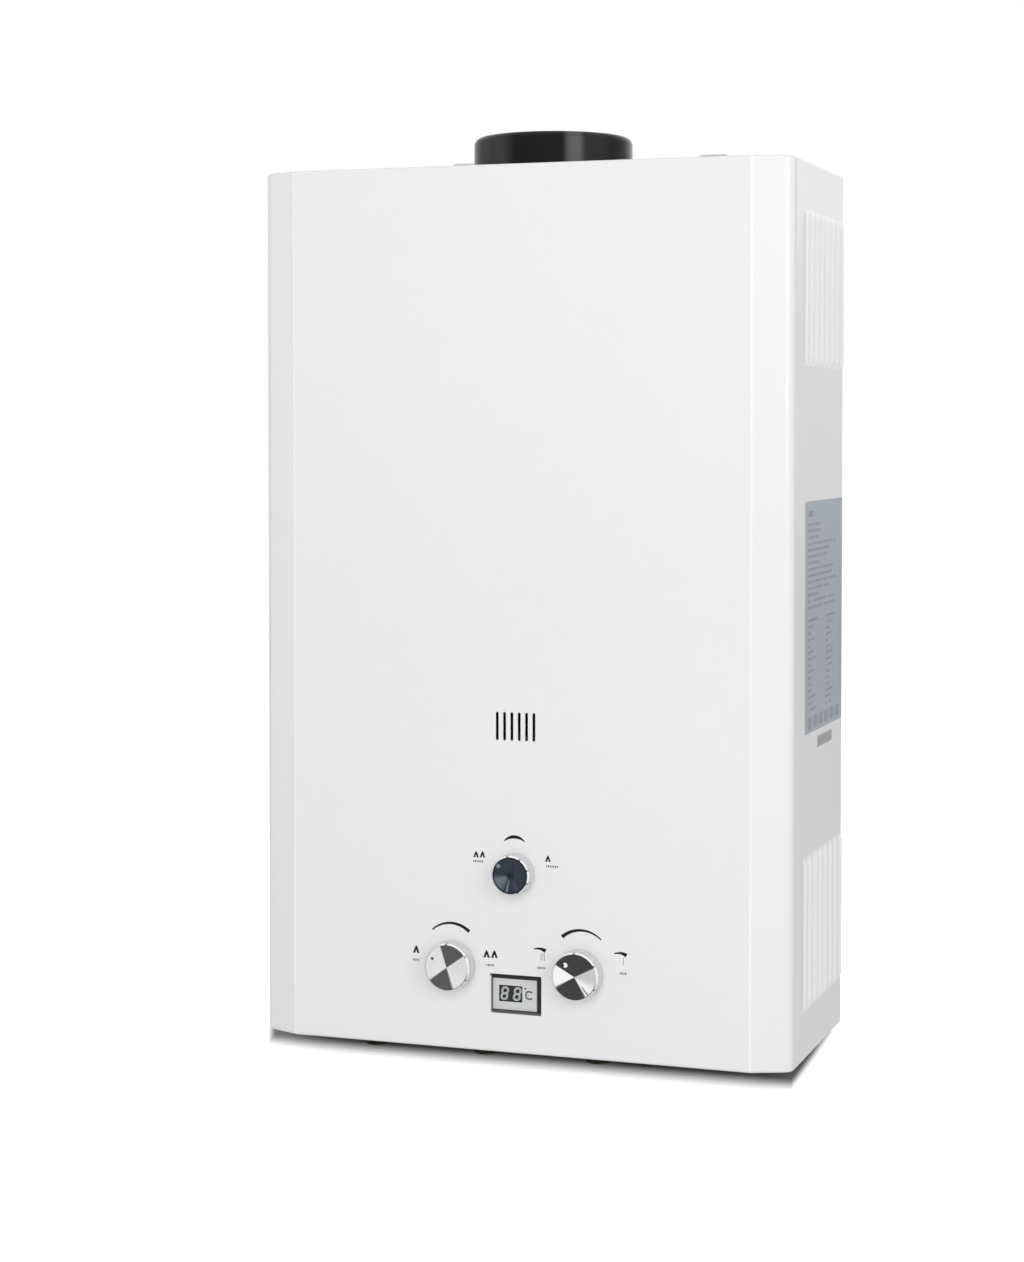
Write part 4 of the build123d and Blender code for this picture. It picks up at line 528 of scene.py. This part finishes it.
seasonFaceValues = {
    "deep": (0.014, 0.017, 0.021, 1), "pale": (0.22, 0.26, 0.33, 1),
    "dot": (143.0, 12.0, 1.7), "dotShare": 1.6,  # heading, distance and size, and how pale
    # painted reflection streaks: heading and half width in degrees, and how pale
    "streaks": ((258.0, 6.0, 0.7), (236.0, 12.0, 0.25), (208.0, 30.0, 0.5), (300.0, 9.0, 0.12)),
    "streakEnd": (12.4, 14.0), "streakStart": (1.0, 5.0), "spokeShare": 0.22, "ringShare": 0.06,
    "rings": (4200, 0.02), "spokes": (0.22, 160, 0), "rough": (0.15, 0.25),
}
paint = Paint("seasonFace", Metallic=1.0, Roughness=0.2)
centreX, centreZ, radius = knobPlaces["season"]
right, up, angle, turned, reach, rings, spokes = spun(paint, centreX, centreZ, seasonFaceValues)
# painted reflections: pale streaks, fading toward the rim and the middle
streak = spokes * seasonFaceValues["spokeShare"]
for heading, width, strength in seasonFaceValues["streaks"]:
    streak = streak + paint.line(turned, heading, width * 0.4, width) * strength
streak = streak * (1 - paint.between(reach, *metres(seasonFaceValues["streakEnd"])))
streak = streak * paint.between(reach, *metres(seasonFaceValues["streakStart"]))
dot = spot(paint, right, up, *seasonFaceValues["dot"]) * seasonFaceValues["dotShare"]
pale = streak + rings * seasonFaceValues["ringShare"] + dot
paint.feed(Base_Color=paint.blend(pale, seasonFaceValues["deep"], seasonFaceValues["pale"]),
           Roughness=paint.span(rings, *seasonFaceValues["rough"]))
finishes["seasonFace"] = paint
print("finishes: knobs and their faces")

frameValues = {
    "edges": (-20.4, -19.6, -187.5, -289.4, -316.9),  # mm: left, inner, front, top and foot
    "lipHighlightLevel": 0.82, "innerWallLight": 0.12, "footLight": 0.10, "level": (0.006, 0.016),
    "grain": 1400.0, "rough": (0.35, 0.45), "bump": (0.2, 0.03),
}
paint = Paint("displayFrame", Roughness=0.5, Specular_IOR_Level=0.25)
x, y, z = paint.place()
fine = paint.noise(frameValues["grain"], 2.0)
# painted light: a pale painted highlight on the lip at the left, a lighter lit band at the foot and a lighter
# lit inner wall
left, inner, front, top, foot = metres(frameValues["edges"])
paleLip = (x < left) * (y < front) * (z < top)
innerWall = (x < inner) * (1 - paleLip)
level = paint.span(fine, *frameValues["level"]) + (z < foot) * frameValues["footLight"]
level = mixed(level + innerWall * frameValues["innerWallLight"], paleLip, frameValues["lipHighlightLevel"])
paint.feed(Base_Color=paint.mono(level), Roughness=paint.span(fine, *frameValues["rough"]))
paint.bump(fine, *frameValues["bump"])
finishes["displayFrame"] = paint

filmValues = {  # mm, from the film's front edge and its middle
    "front": -136.6, "middle": -4.8, "patchTop": -99.0,
    "ground": (0.30, 0.345, 0.40, 1), "ink": (0.06, 0.07, 0.10, 1), "tick": grey(0.33),
    "rowPitch": 5.0, "row": (0.30, 0.70), "words": (0.55, 7.3), "wordGap": 0.40,
    "speckle": 900.0, "inkShare": (0.7, 1.0), "rough": (0.32, 0.47), "bump": (0.1, 0.03),
    "textZ": (4.0, 76.0), "textStart": 8, "textEnd": (38, 78),  # shortest line, and how much longer
    "tableZ": (-74.0, 0.0), "ruleEnds": (4, 131), "ruleShare": 0.07,
    "columns": ((8, 44, 14, 34), (72, 112, 82, 26)),  # start, end, shortest line, and how much longer
    "boxZ": (-88.0, -78.0), "boxEnds": (8, 128), "boxPitch": 20, "boxShare": 0.78,
    "uprightEnds": (124.0, 125.2), "headingZ": (78.5, 83.0), "headingEnds": (10, 26),
    "tickPitch": 3.2, "tickShare": (0.15, 0.55), "tickZ": (-104.0, -97.6),
    "barInk": 0.75, "ruleInk": 0.35, "boxInk": 0.55, "uprightInk": 0.5, "headingInk": 0.8, "tickInk": 0.75,
}
paint = Paint("sideFilm", Roughness=0.4, Coat_Weight=0.2, Coat_Roughness=0.2)
x, y, z = paint.place()
across = (y - filmValues["front"] * mm) * 1000
height = (z - filmValues["middle"] * mm) * 1000
row = height / filmValues["rowPitch"]
index, phase = row.math("FLOOR", row), row.math("FRACT", row)
chance = paint.node("ShaderNodeTexWhiteNoise", {"noise_dimensions": "1D"}, {"W": index + 0.5}, "Value")
along, perRow = filmValues["words"]
words = paint.noise(1.0, 0.0, 0.5, paint.vector(across * along, index * perRow, 0))
shortest, longer = filmValues["textEnd"]
text = (across > filmValues["textStart"]) * (across < chance * longer + shortest)
table = 0
for start, end, shortest, longer in filmValues["columns"]:
    table = table + paint.inside(across, start, end) * (across < chance * longer + shortest)
tableRows = paint.inside(height, *filmValues["tableZ"])
bars = paint.inside(phase, *filmValues["row"]) * (words > filmValues["wordGap"])
bars = bars * (paint.inside(height, *filmValues["textZ"]) * text + tableRows * table)
rule = paint.inside(phase, 0.0, filmValues["ruleShare"]) * tableRows
rule = rule * paint.inside(across, *filmValues["ruleEnds"])
step = (across - filmValues["boxEnds"][0]) / filmValues["boxPitch"]
boxes = paint.inside(height, *filmValues["boxZ"]) * paint.inside(across, *filmValues["boxEnds"])
boxes = boxes * paint.inside(step.math("FRACT", step), 0.0, filmValues["boxShare"])
upright = paint.inside(across, *filmValues["uprightEnds"]) * (height > filmValues["tableZ"][0])
heading = paint.inside(height, *filmValues["headingZ"]) * paint.inside(across, *filmValues["headingEnds"])
ink = 0
for drawn, share in ((bars, "barInk"), (rule, "ruleInk"), (boxes, "boxInk"), (upright, "uprightInk"),
                     (heading, "headingInk")):
    ink = ink + drawn * filmValues[share]
step = across / filmValues["tickPitch"]
ticks = paint.inside(step.math("FRACT", step), *filmValues["tickShare"])
ticks = ticks * paint.inside(height, *filmValues["tickZ"]) * filmValues["tickInk"]
speckle = paint.noise(filmValues["speckle"], 2.0)
ink = ink * paint.span(speckle, *filmValues["inkShare"])
film = paint.blend(ink, filmValues["ground"], filmValues["ink"])
patch = paint.blend(ticks, filmValues["tick"], filmValues["ink"])
paint.feed(Base_Color=paint.blend(z < filmValues["patchTop"] * mm, film, patch),
           Roughness=paint.span(speckle, *filmValues["rough"]))
paint.bump(speckle, *filmValues["bump"])
finishes["side_film"] = paint
print("finishes: side film")


def inked(name, dark, light, grain=300.0, **fixed):
    # flat ink, slightly uneven
    paint = Paint(name, **fixed)
    paint.feed(Base_Color=paint.blend(paint.noise(grain), dark, light))
    return paint


printInk = inked("printInk", grey(0.003), grey(0.010), Roughness=0.5, Specular_IOR_Level=0.2)
printInk.feed(Roughness=printInk.span(printInk.noise(500.0), 0.4, 0.6))

slotsOf = {row["node"]: row["material_slot"] for row in frame["record"]["subparts"]}
ownFinishes = {  # nodes that don't take their slot's finish
    "gas_knob": "gasKnob", "water_knob": "waterKnob", "season_knob": "seasonKnob",
    "gas_knob_face": "gasFace", "water_knob_face": "waterFace", "season_knob_face": "seasonFace",
    "display_frame": "displayFrame",
}
for name, thing in nodes.items():
    finish = finishes[ownFinishes.get(name, slotsOf[name])].material
    if not thing.material_slots:
        thing.data.materials.append(finish)
    for place in thing.material_slots:
        place.material = finish
print("nodes: painted")


def grid(points, roundColumns=False, roundRows=False):
    # rows x columns of points joined as quads; a round grid joins its last line to its first
    rows, columns = points.shape[:2]
    rowEnd = rows if roundRows else rows - 1
    columnEnd = columns if roundColumns else columns - 1
    r, c = np.meshgrid(np.arange(rowEnd), np.arange(columnEnd), indexing="ij")
    nextRow, nextColumn = (r + 1) % rows, (c + 1) % columns
    faces = np.stack([r * columns + c, r * columns + nextColumn, nextRow * columns + nextColumn,
                      nextRow * columns + c], axis=-1)
    return points.reshape(-1, 3), faces.reshape(-1, 4)


def makePiece(name, surfaces, paint, body, sharp=None):
    # joins the surfaces in one mesh, closes its seams and poles, and turns its faces outwards;
    # its shading is smooth only where sharp gives the angle of the edges that stay sharp
    places, faces, count = [], [], 0
    for points, quads in surfaces:
        places.append(points)
        faces.append(quads + count)
        count += len(points)
    mesh = bpy.data.meshes.new(name)
    mesh.from_pydata((np.concatenate(places) * mm).tolist(), [], np.concatenate(faces).tolist())
    work = bmesh.new()
    work.from_mesh(mesh)
    bmesh.ops.remove_doubles(work, verts=work.verts, dist=1e-7)
    bmesh.ops.dissolve_degenerate(work, edges=work.edges, dist=1e-8)
    bmesh.ops.recalc_face_normals(work, faces=work.faces)
    work.to_mesh(mesh)
    work.free()
    mesh.materials.append(paint.material)
    piece = bpy.data.objects.new(name, mesh)
    bpy.context.scene.collection.objects.link(piece)
    if sharp:
        mesh.shade_smooth()
        mesh.set_sharp_from_angle(angle=math.radians(sharp))
    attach(piece, body)
    return piece


def edged(lines, depths):
    # lines (n x 2, X and Z) side by side, each at its own depth
    corners = np.stack(lines, axis=1)
    return np.stack([corners[..., 0], np.broadcast_to(depths, corners.shape[:2]), corners[..., 1]], axis=-1)


def ribbon(left, right, front, thickness):
    # a flat strip between two lines that meets in a point at both ends
    rear = front + thickness
    points = edged([left, left, right, right], [front, rear, rear, front])
    centre = points.mean(axis=1, keepdims=True)
    points = np.concatenate([np.repeat(centre[:1], 4, axis=1), points, np.repeat(centre[-1:], 4, axis=1)])
    return grid(points, roundColumns=True)


def band(path, halfWidth, front, thickness):
    # a line of ink: the path's two sides lie half its width away, square to its direction
    path = np.asarray(path, float)
    halfWidth = np.broadcast_to(np.asarray(halfWidth, float), len(path))
    along = np.gradient(path, axis=0)
    along /= np.maximum(np.linalg.norm(along, axis=1, keepdims=True), 1e-9)
    side = np.stack([-along[:, 1], along[:, 0]], axis=1) * halfWidth[:, None]
    return ribbon(path + side, path - side, front, thickness)


def arcThrough(first, top, last, count=33):
    # points along the circle through three points
    (ax, az), (bx, bz), (cx, cz) = first, top, last
    system = np.array([[bx - ax, bz - az], [cx - ax, cz - az]])
    right = 0.5 * np.array([bx * bx + bz * bz - ax * ax - az * az, cx * cx + cz * cz - ax * ax - az * az])
    centre = np.linalg.solve(system, right)
    start = math.atan2(az - centre[1], ax - centre[0])
    end = math.atan2(cz - centre[1], cx - centre[0])
    turn = np.linspace(start, end, count)
    radius = math.hypot(ax - centre[0], az - centre[1])
    return centre + radius * np.stack([np.cos(turn), np.sin(turn)], axis=1)


markValues = {
    "front": -188.06, "thickness": 0.06,  # mm
    "gasArc": ((-70.2, -256.3), (-54.8, -250.0), (-38.8, -256.0)), "gasWidths": (0.55, 1.4),
    "waterArc": ((38.6, -255.0), (52.5, -248.9), (70.6, -255.3)), "waterWidths": (1.45, 0.5),
    "seasonArc": ((-9.5, -182.3), (-1.1, -178.5), (7.6, -182.0)), "seasonWidths": (0.3, 1.0),
    "flameSize": (2.75, 6.2),  # half width and height
    "flamePowers": (0.85, 1.25), "hollow": (0.26, 0.6, 0.05, 0.36, 1.6),
    "flames": ((-83.9, -272.9, 1.0), (-24.2, -272.6, 1.0), (-17.6, -272.4, 1.0),
               (-33.0, -194.0, 0.84), (-27.6, -193.8, 0.84), (26.9, -194.2, 0.84)),
    # middle and number of short bars that stand for a small word
    "levels": ((-84.2, -281.4, 4), (-21.2, -281.4, 5), (21.4, -280.7, 5), (88.5, -280.3, 4),
               (-31.3, -199.4, 6), (30.3, -200.2, 7)),
    "levelPitch": 1.45, "levelHalf": 0.36, "levelHeights": (1.425, 1.9),  # every other bar is taller
}
front, thickness = markValues["front"], markValues["thickness"]
marks = []

# the gas and water arcs widen from end to end, the season arc is widest at its middle
step = np.linspace(0, 1, 33)
for arc, widths in (("gasArc", "gasWidths"), ("waterArc", "waterWidths")):
    first, last = markValues[widths]
    marks.append(band(arcThrough(*markValues[arc]), first + (last - first) * step, front, thickness))
end, middle = markValues["seasonWidths"]
marks.append(band(arcThrough(*markValues["seasonArc"]), end + middle * np.sin(np.pi * step), front, thickness))


def flame(x, z, size):
    # a pointed arch between two lines: each climbs as 1 - |t| to a power and bows out as |t| to a power,
    # and the inner line is narrower and stops short of the outer one's point
    halfWidth, height = (value * size for value in markValues["flameSize"])
    bow, climb = markValues["flamePowers"]
    narrow, innerBow, lift, tall, innerClimb = markValues["hollow"]
    turn = np.linspace(-1, 1, 33)
    away, heading = np.abs(turn), np.sign(turn)
    foot = z - height / 2
    outer = np.stack([x + halfWidth * heading * away ** bow, foot + height * (1 - away ** climb)], axis=1)
    inner = np.stack([x + halfWidth * narrow * heading * away ** innerBow,
                      foot + height * (lift + tall * (1 - away ** innerClimb))], axis=1)
    return ribbon(outer, inner, front, thickness)


for x, z, size in markValues["flames"]:
    marks.append(flame(x, z, size))


def upright(x, first, last, halfWidth):
    return band([(x, first), (x, (first + last) / 2), (x, last)], halfWidth, front, thickness)


for x, z, count in markValues["levels"]:
    for bar in range(count):
        centre = x + (bar - (count - 1) / 2) * markValues["levelPitch"]
        half = markValues["levelHeights"][bar % 2] / 2
        marks.append(upright(centre, z - half, z + half, markValues["levelHalf"]))

tapValues = {  # mm
    "taps": ((20.1, -266.0, (1.1, 2.6, 4.1)), (86.3, -265.0, (2.4,))),  # X, Z and columns of drops
    "reach": 4.9, "rise": 1.1, "wave": (0.12, 0.80), "droop": 0.9,
    "tail": 0.5, "nose": 1.15,  # half the line's width at its tail, and how it swells
    "dropStart": 3.3, "dropHalf": 0.24, "dropLength": 0.9, "dropPitch": 1.45, "drops": 4,
}


def tap(x, z, columns):
    # a spout: half a sine wave whose line swells from a thin tail to a full nose that droops as the
    # fourth power, over rows of drops
    turn = np.linspace(0, 1, 25)
    start, share = tapValues["wave"]
    climb = tapValues["rise"] * (np.sin(np.pi * (start + share * turn)) - 0.5) - tapValues["droop"] * turn ** 4
    path = np.stack([x + tapValues["reach"] * (2 * turn - 1), z + climb], axis=1)
    drawn = [band(path, tapValues["tail"] + tapValues["nose"] * turn ** 1.5, front, thickness)]
    for column in columns:
        for drop in range(tapValues["drops"]):
            top = z - tapValues["dropStart"] - drop * tapValues["dropPitch"]
            drawn.append(upright(x + column, top, top - tapValues["dropLength"], tapValues["dropHalf"]))
    return drawn


for place in tapValues["taps"]:
    marks += tap(*place)
makePiece("panelMarks", marks, printInk, "case")
print("panel marks:", len(marks), "lines")

displayValues = {  # mm, from the lens's centre
    "centre": (0.0, -303.3), "lensFront": -185.4, "skin": 0.05, "lensHalf": (19.8, 13.8),
    "block": (-4.9, -0.1, 19.4, 12.9),  # X, Z, width and height of the dark window
    "digits": (-9.8, 0.57), "digitZ": -0.05, "loop": (2.35, 2.3), "stroke": 0.82, "lean": 0.15,
    "loopPower": 2.6, "overlap": 0.01,  # the lower loop lies this much in front of the upper one
    "degree": (7.2, 4.5, 0.45), "degreeStroke": 0.9,  # X, Z and radius, and the line's share of the radius
    "letter": (10.6, -0.4, 2.75, 2.95, 0.62),  # X, Z, half width, half height and half the line
    "letterTurn": (38.0, 322.0),  # degrees: an open loop
    "topStrip": 2.2, "rightStrip": 2.9, "footStrip": 0.9,
}
centreX, centreZ = displayValues["centre"]
skin = displayValues["skin"]
faceY = displayValues["lensFront"] - skin
halfW, halfH = displayValues["lensHalf"]

windowPaint = inked("displayWindow", grey(0.008), grey(0.022), 400.0, Roughness=0.3, Specular_IOR_Level=0.3,
                    Coat_Weight=0.15, Coat_Roughness=0.05)
digitPaint = inked("displayDigits", (0.40, 0.42, 0.42, 1), (0.48, 0.50, 0.50, 1), Roughness=0.35)
unitPaint = inked("displayUnitInk", grey(0.07), grey(0.11), Roughness=0.4)


def plate(x, z, width, height):
    return band([(x - width / 2, z), (x, z), (x + width / 2, z)], height / 2, faceY, skin)


def loopLine(x, z, halfWidth, halfHeight, first=0.0, last=360.0, count=41):
    # a rounded loop: a superellipse, so across and up go as cosine and sine to 2 / its power
    turn = np.radians(np.linspace(first, last, count))
    across, climb = np.cos(turn), np.sin(turn)
    power = 2 / displayValues["loopPower"]
    points = np.stack([halfWidth * np.sign(across) * np.abs(across) ** power,
                       halfHeight * np.sign(climb) * np.abs(climb) ** power], axis=1)
    return points + (x, z)


def ringBand(path, halfWidth, front):
    # a closed line of ink round the path's middle, as thick everywhere
    middle = path[:-1].mean(axis=0)
    along = np.roll(path[:-1], -1, axis=0) - np.roll(path[:-1], 1, axis=0)
    along /= np.linalg.norm(along, axis=1, keepdims=True)
    side = np.stack([along[:, 1], -along[:, 0]], axis=1) * halfWidth
    outer, inner = path[:-1] + side, path[:-1] - side
    points = edged([outer, outer, inner, inner], [front - skin, front, front, front - skin])
    return grid(points, roundColumns=True, roundRows=True)


blockX, blockZ, blockWidth, blockHeight = displayValues["block"]
top, right, foot = (displayValues[key] for key in ("topStrip", "rightStrip", "footStrip"))
windowParts = [
    plate(centreX + blockX, centreZ + blockZ, blockWidth, blockHeight),
    # dark strips along the lens's top and right edges
    plate(centreX, centreZ + halfH - top / 2, 2 * halfW, top),
    plate(centreX + halfW - right / 2, centreZ - top / 2, right, 2 * halfH - top),
]
makePiece("displayWindow", windowParts, windowPaint, "case")

# each digit is two loops, one above the other, leaned to the right as they climb
digitParts = []
halfWidth, halfHeight = displayValues["loop"]
for digitX in displayValues["digits"]:
    for climb, front in ((halfHeight, faceY), (-halfHeight, faceY - displayValues["overlap"])):
        loop = loopLine(digitX, displayValues["digitZ"] + climb, halfWidth, halfHeight)
        loop[:, 0] += displayValues["lean"] * (loop[:, 1] - displayValues["digitZ"])
        digitParts.append(ringBand(loop + (centreX, centreZ), displayValues["stroke"], front))
makePiece("displayDigits", digitParts, digitPaint, "case")

x, z, radius = displayValues["degree"]
degreeLoop = loopLine(centreX + x, centreZ + z, radius, radius)
x, z, halfWidth, halfHeight, half = displayValues["letter"]
letterLoop = loopLine(centreX + x, centreZ + z, halfWidth, halfHeight, *displayValues["letterTurn"])
unitParts = [
    ringBand(degreeLoop, radius * displayValues["degreeStroke"], faceY + skin),
    band(letterLoop, half, faceY, skin),
    # a grey strip along the lens's foot
    plate(centreX - right / 2, centreZ - halfH + foot / 2, 2 * halfW - right, foot),
]
makePiece("displayUnit", unitParts, unitPaint, "case")
print("display: drawn")

nippleValues = {  # mm
    "places": {"hot_outlet": (-150.0, -110.0), "gas_inlet": (-53.0, -110.0), "cold_inlet": (44.0, -110.0)},
    "tops": {"hot_outlet": -318.0, "gas_inlet": -313.1, "cold_inlet": -319.1},
    "foot": -371.0, "bore": 7.5, "roof": 1.0, "chamfer": 0.5, "start": 0.4,
    "major": 10.475, "depth": 1.16, "pitch": 1.814, "threadTop": -350.6, "rowsPerPitch": 10,
    "saw": (2.6, 0.15),  # steepness and how much of it is cut off for the crest
    "runIn": 1.6, "runOut": 1.2, "lead": 1.4,  # the thread fades in and out, and narrows at its start
    "shank": 10.0, "hex": 27.0, "hexHeight": 8.0, "bevel": 0.7, "bevelled": (0.1, 1.6), "columns": 96,
}


def nipple(x, y, topZ):
    # revolved from the bore's roof, down the bore, up the thread and round the hexagon:
    # the thread's radius is major - depth x a saw that climbs one pitch each turn
    value = nippleValues
    foot, threadTop, chamfer, bevel = (value[key] for key in ("foot", "threadTop", "chamfer", "bevel"))
    angle = np.linspace(0, 2 * np.pi, value["columns"], endpoint=False)

    roof = topZ - value["roof"]
    rows = [(0.0, roof), (value["bore"], roof), (value["bore"], foot + chamfer),
            (value["bore"] + chamfer, foot), (value["major"] - value["depth"] - value["start"], foot)]
    radius = [np.full(value["columns"], away) for away, _ in rows]
    height = [z for _, z in rows]

    threadZ = np.arange(foot + value["start"], threadTop, value["pitch"] / value["rowsPerPitch"])
    phase = threadZ[:, None] / value["pitch"] - angle[None, :] / (2 * np.pi)
    steepness, cut = value["saw"]
    saw = np.clip(np.abs((phase % 1.0) - 0.5) * steepness - cut, 0, 1)
    fade = np.clip((threadZ - foot) / value["runIn"], 0, 1)
    fade *= np.clip((threadTop - threadZ) / value["runOut"], 0, 1)
    crest = value["major"] - value["depth"] * np.clip(1 - (threadZ - foot) / value["lead"], 0, 1)
    threadRadius = crest[:, None] - value["depth"] * saw * fade[:, None]

    # the hexagon's radius is its half width over the cosine of the angle from the nearest flat
    hexBase = topZ - value["hexHeight"]
    apothem = value["hex"] / 2
    hexRadius = apothem / np.cos((angle % (np.pi / 3)) - np.pi / 6)
    edge, full = (np.minimum(hexRadius, apothem + more) for more in value["bevelled"])
    radius += list(threadRadius) + [np.full(value["columns"], value["shank"])] * 2
    radius += [edge, full, full, edge, np.zeros(value["columns"])]
    height += list(threadZ) + [threadTop, hexBase]
    height += [hexBase, hexBase + bevel, topZ - bevel, topZ, topZ]
    radius, height = np.array(radius), np.array(height)
    points = np.stack([x + radius * np.cos(angle), y + radius * np.sin(angle),
                       np.broadcast_to(height[:, None], radius.shape)], axis=-1)
    return grid(points, roundColumns=True)


for name, (x, y) in nippleValues["places"].items():
    thread = nipple(x, y, nippleValues["tops"][name])
    piece = makePiece(name + "Thread", [thread], finishes["dark_brass"], "case", sharp=50.0)
    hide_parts(name)
print("connections: threaded")

lightValues = {  # azimuth in degrees to the right, metres, watts
    "key": {"azimuth": 5, "height": 1.1, "distance": 3.0, "size": (1.5, 2.0), "power": 26},
    "side": {"azimuth": 50, "height": 0.9, "distance": 3.0, "size": (1.4, 2.0), "power": 22},
    "fill": {"azimuth": -62, "height": 0.5, "distance": 3.0, "size": (1.4, 2.2), "power": 5},
    "top": {"azimuth": 10, "height": 3.0, "distance": 0.9, "size": (2.4, 2.0), "power": 6},
    "back": {"azimuth": 165, "height": 1.4, "distance": 3.0, "size": (2.0, 2.0), "power": 6},
}
studioValues = {"ambient": 0.45, "aim": (0.0, -0.1, 0.0)}
world = bpy.data.worlds.new("studio")
world.use_nodes = True
bpy.context.scene.world = world
tree = world.node_tree
background = tree.nodes["Background"]
background.inputs["Color"].default_value = (1, 1, 1, 1)
# full strength where the world is seen, less where it only lights
rays = tree.nodes.new("ShaderNodeLightPath")
seen = rays.outputs["Is Camera Ray"]
for ray in ("Is Glossy Ray", "Is Transmission Ray"):
    either = tree.nodes.new("ShaderNodeMath")
    either.operation = "MAXIMUM"
    tree.links.new(seen, either.inputs[0])
    tree.links.new(rays.outputs[ray], either.inputs[1])
    seen = either.outputs[0]
strength = tree.nodes.new("ShaderNodeMapRange")
strength.inputs["To Min"].default_value = studioValues["ambient"]
strength.inputs["To Max"].default_value = 1.0
tree.links.new(seen, strength.inputs["Value"])
tree.links.new(strength.outputs[0], background.inputs["Strength"])

aim = np.array(studioValues["aim"])
for name, value in lightValues.items():
    lamp = bpy.data.lights.new(name, "AREA")
    lamp.shape = "RECTANGLE"
    lamp.size, lamp.size_y = value["size"]
    lamp.energy = value["power"]
    turn = math.radians(value["azimuth"])
    holder = bpy.data.objects.new(name, lamp)
    place = aim + (math.sin(turn) * value["distance"], -math.cos(turn) * value["distance"], value["height"])
    holder.location = place
    toward = aim - place
    holder.rotation_euler = (math.acos(-toward[2] / np.linalg.norm(toward)), 0,
                             math.atan2(toward[1], toward[0]) - math.pi / 2)
    holder.visible_glossy = name != "key"  # the frontal lamp leaves no streak on the flue
    bpy.context.scene.collection.objects.link(holder)

floorValues = {
    "height": -371.6, "half": 9000.0, "lines": 13,  # mm
    "colour": grey(0.88), "shaded": grey(0.30), "glow": 0.8, "mirrored": 0.28,
    "footprint": (-220.0, 210.0, -188.0, 0.0),  # mm: left, right, front and rear of the shadow
    "leftFade": (-14.0, -3.0), "farLeftFade": (30.0, 44.0), "rightFade": (-3.0, 6.0),
    "frontFade": (-82.0, -28.0), "rearFade": (30.0, 75.0),
    "leftSlope": 0.4655, "narrowing": 0.045,  # how the left and right ends slant toward the wall
}
spread = np.linspace(-floorValues["half"], floorValues["half"], floorValues["lines"])
floorX, floorY = np.meshgrid(spread, spread, indexing="xy")
points, faces = grid(np.stack([floorX, floorY, np.full_like(floorX, floorValues["height"])], axis=-1))
mesh = bpy.data.meshes.new("floor")
mesh.from_pydata((points * mm).tolist(), [], faces.tolist())
floor = bpy.data.objects.new("floor", mesh)
bpy.context.scene.collection.objects.link(floor)
paint = Paint("paleFloor", Roughness=0.9, Specular_IOR_Level=0.1, Emission_Strength=1.0)
x, y, z = paint.place()
# painted shadow: darker and without glow inside the footprint, white outside it: the largest of the fades from
# its ends, its front and its rear
leftX, rightX, frontY, rearY = metres(floorValues["footprint"])
inward = y - frontY
distances = {
    "leftFade": leftX - x - inward * floorValues["leftSlope"], "farLeftFade": leftX - x,
    "rightFade": x - rightX + inward * floorValues["narrowing"], "frontFade": frontY - y, "rearFade": y - rearY,
}
white = 0
for key, distance in distances.items():
    fade = paint.between(distance, *metres(floorValues[key]))
    white = fade.math("MAXIMUM", white, fade)
seen = paint.node("ShaderNodeLightPath", out="Is Camera Ray")
for ray in ("Is Glossy Ray", "Is Transmission Ray"):
    seen = seen + paint.node("ShaderNodeLightPath", out=ray) * floorValues["mirrored"]
# clear from below, so that the underside can be looked at
paint.feed(Base_Color=paint.blend(white, floorValues["shaded"], floorValues["colour"]),
           Emission_Color=paint.mono(seen * white * floorValues["glow"]),
           Alpha=1 - paint.node("ShaderNodeNewGeometry", out="Backfacing"))
mesh.materials.append(paint.material)

bpy.context.scene.view_settings.view_transform = "Standard"
print("studio: lit")
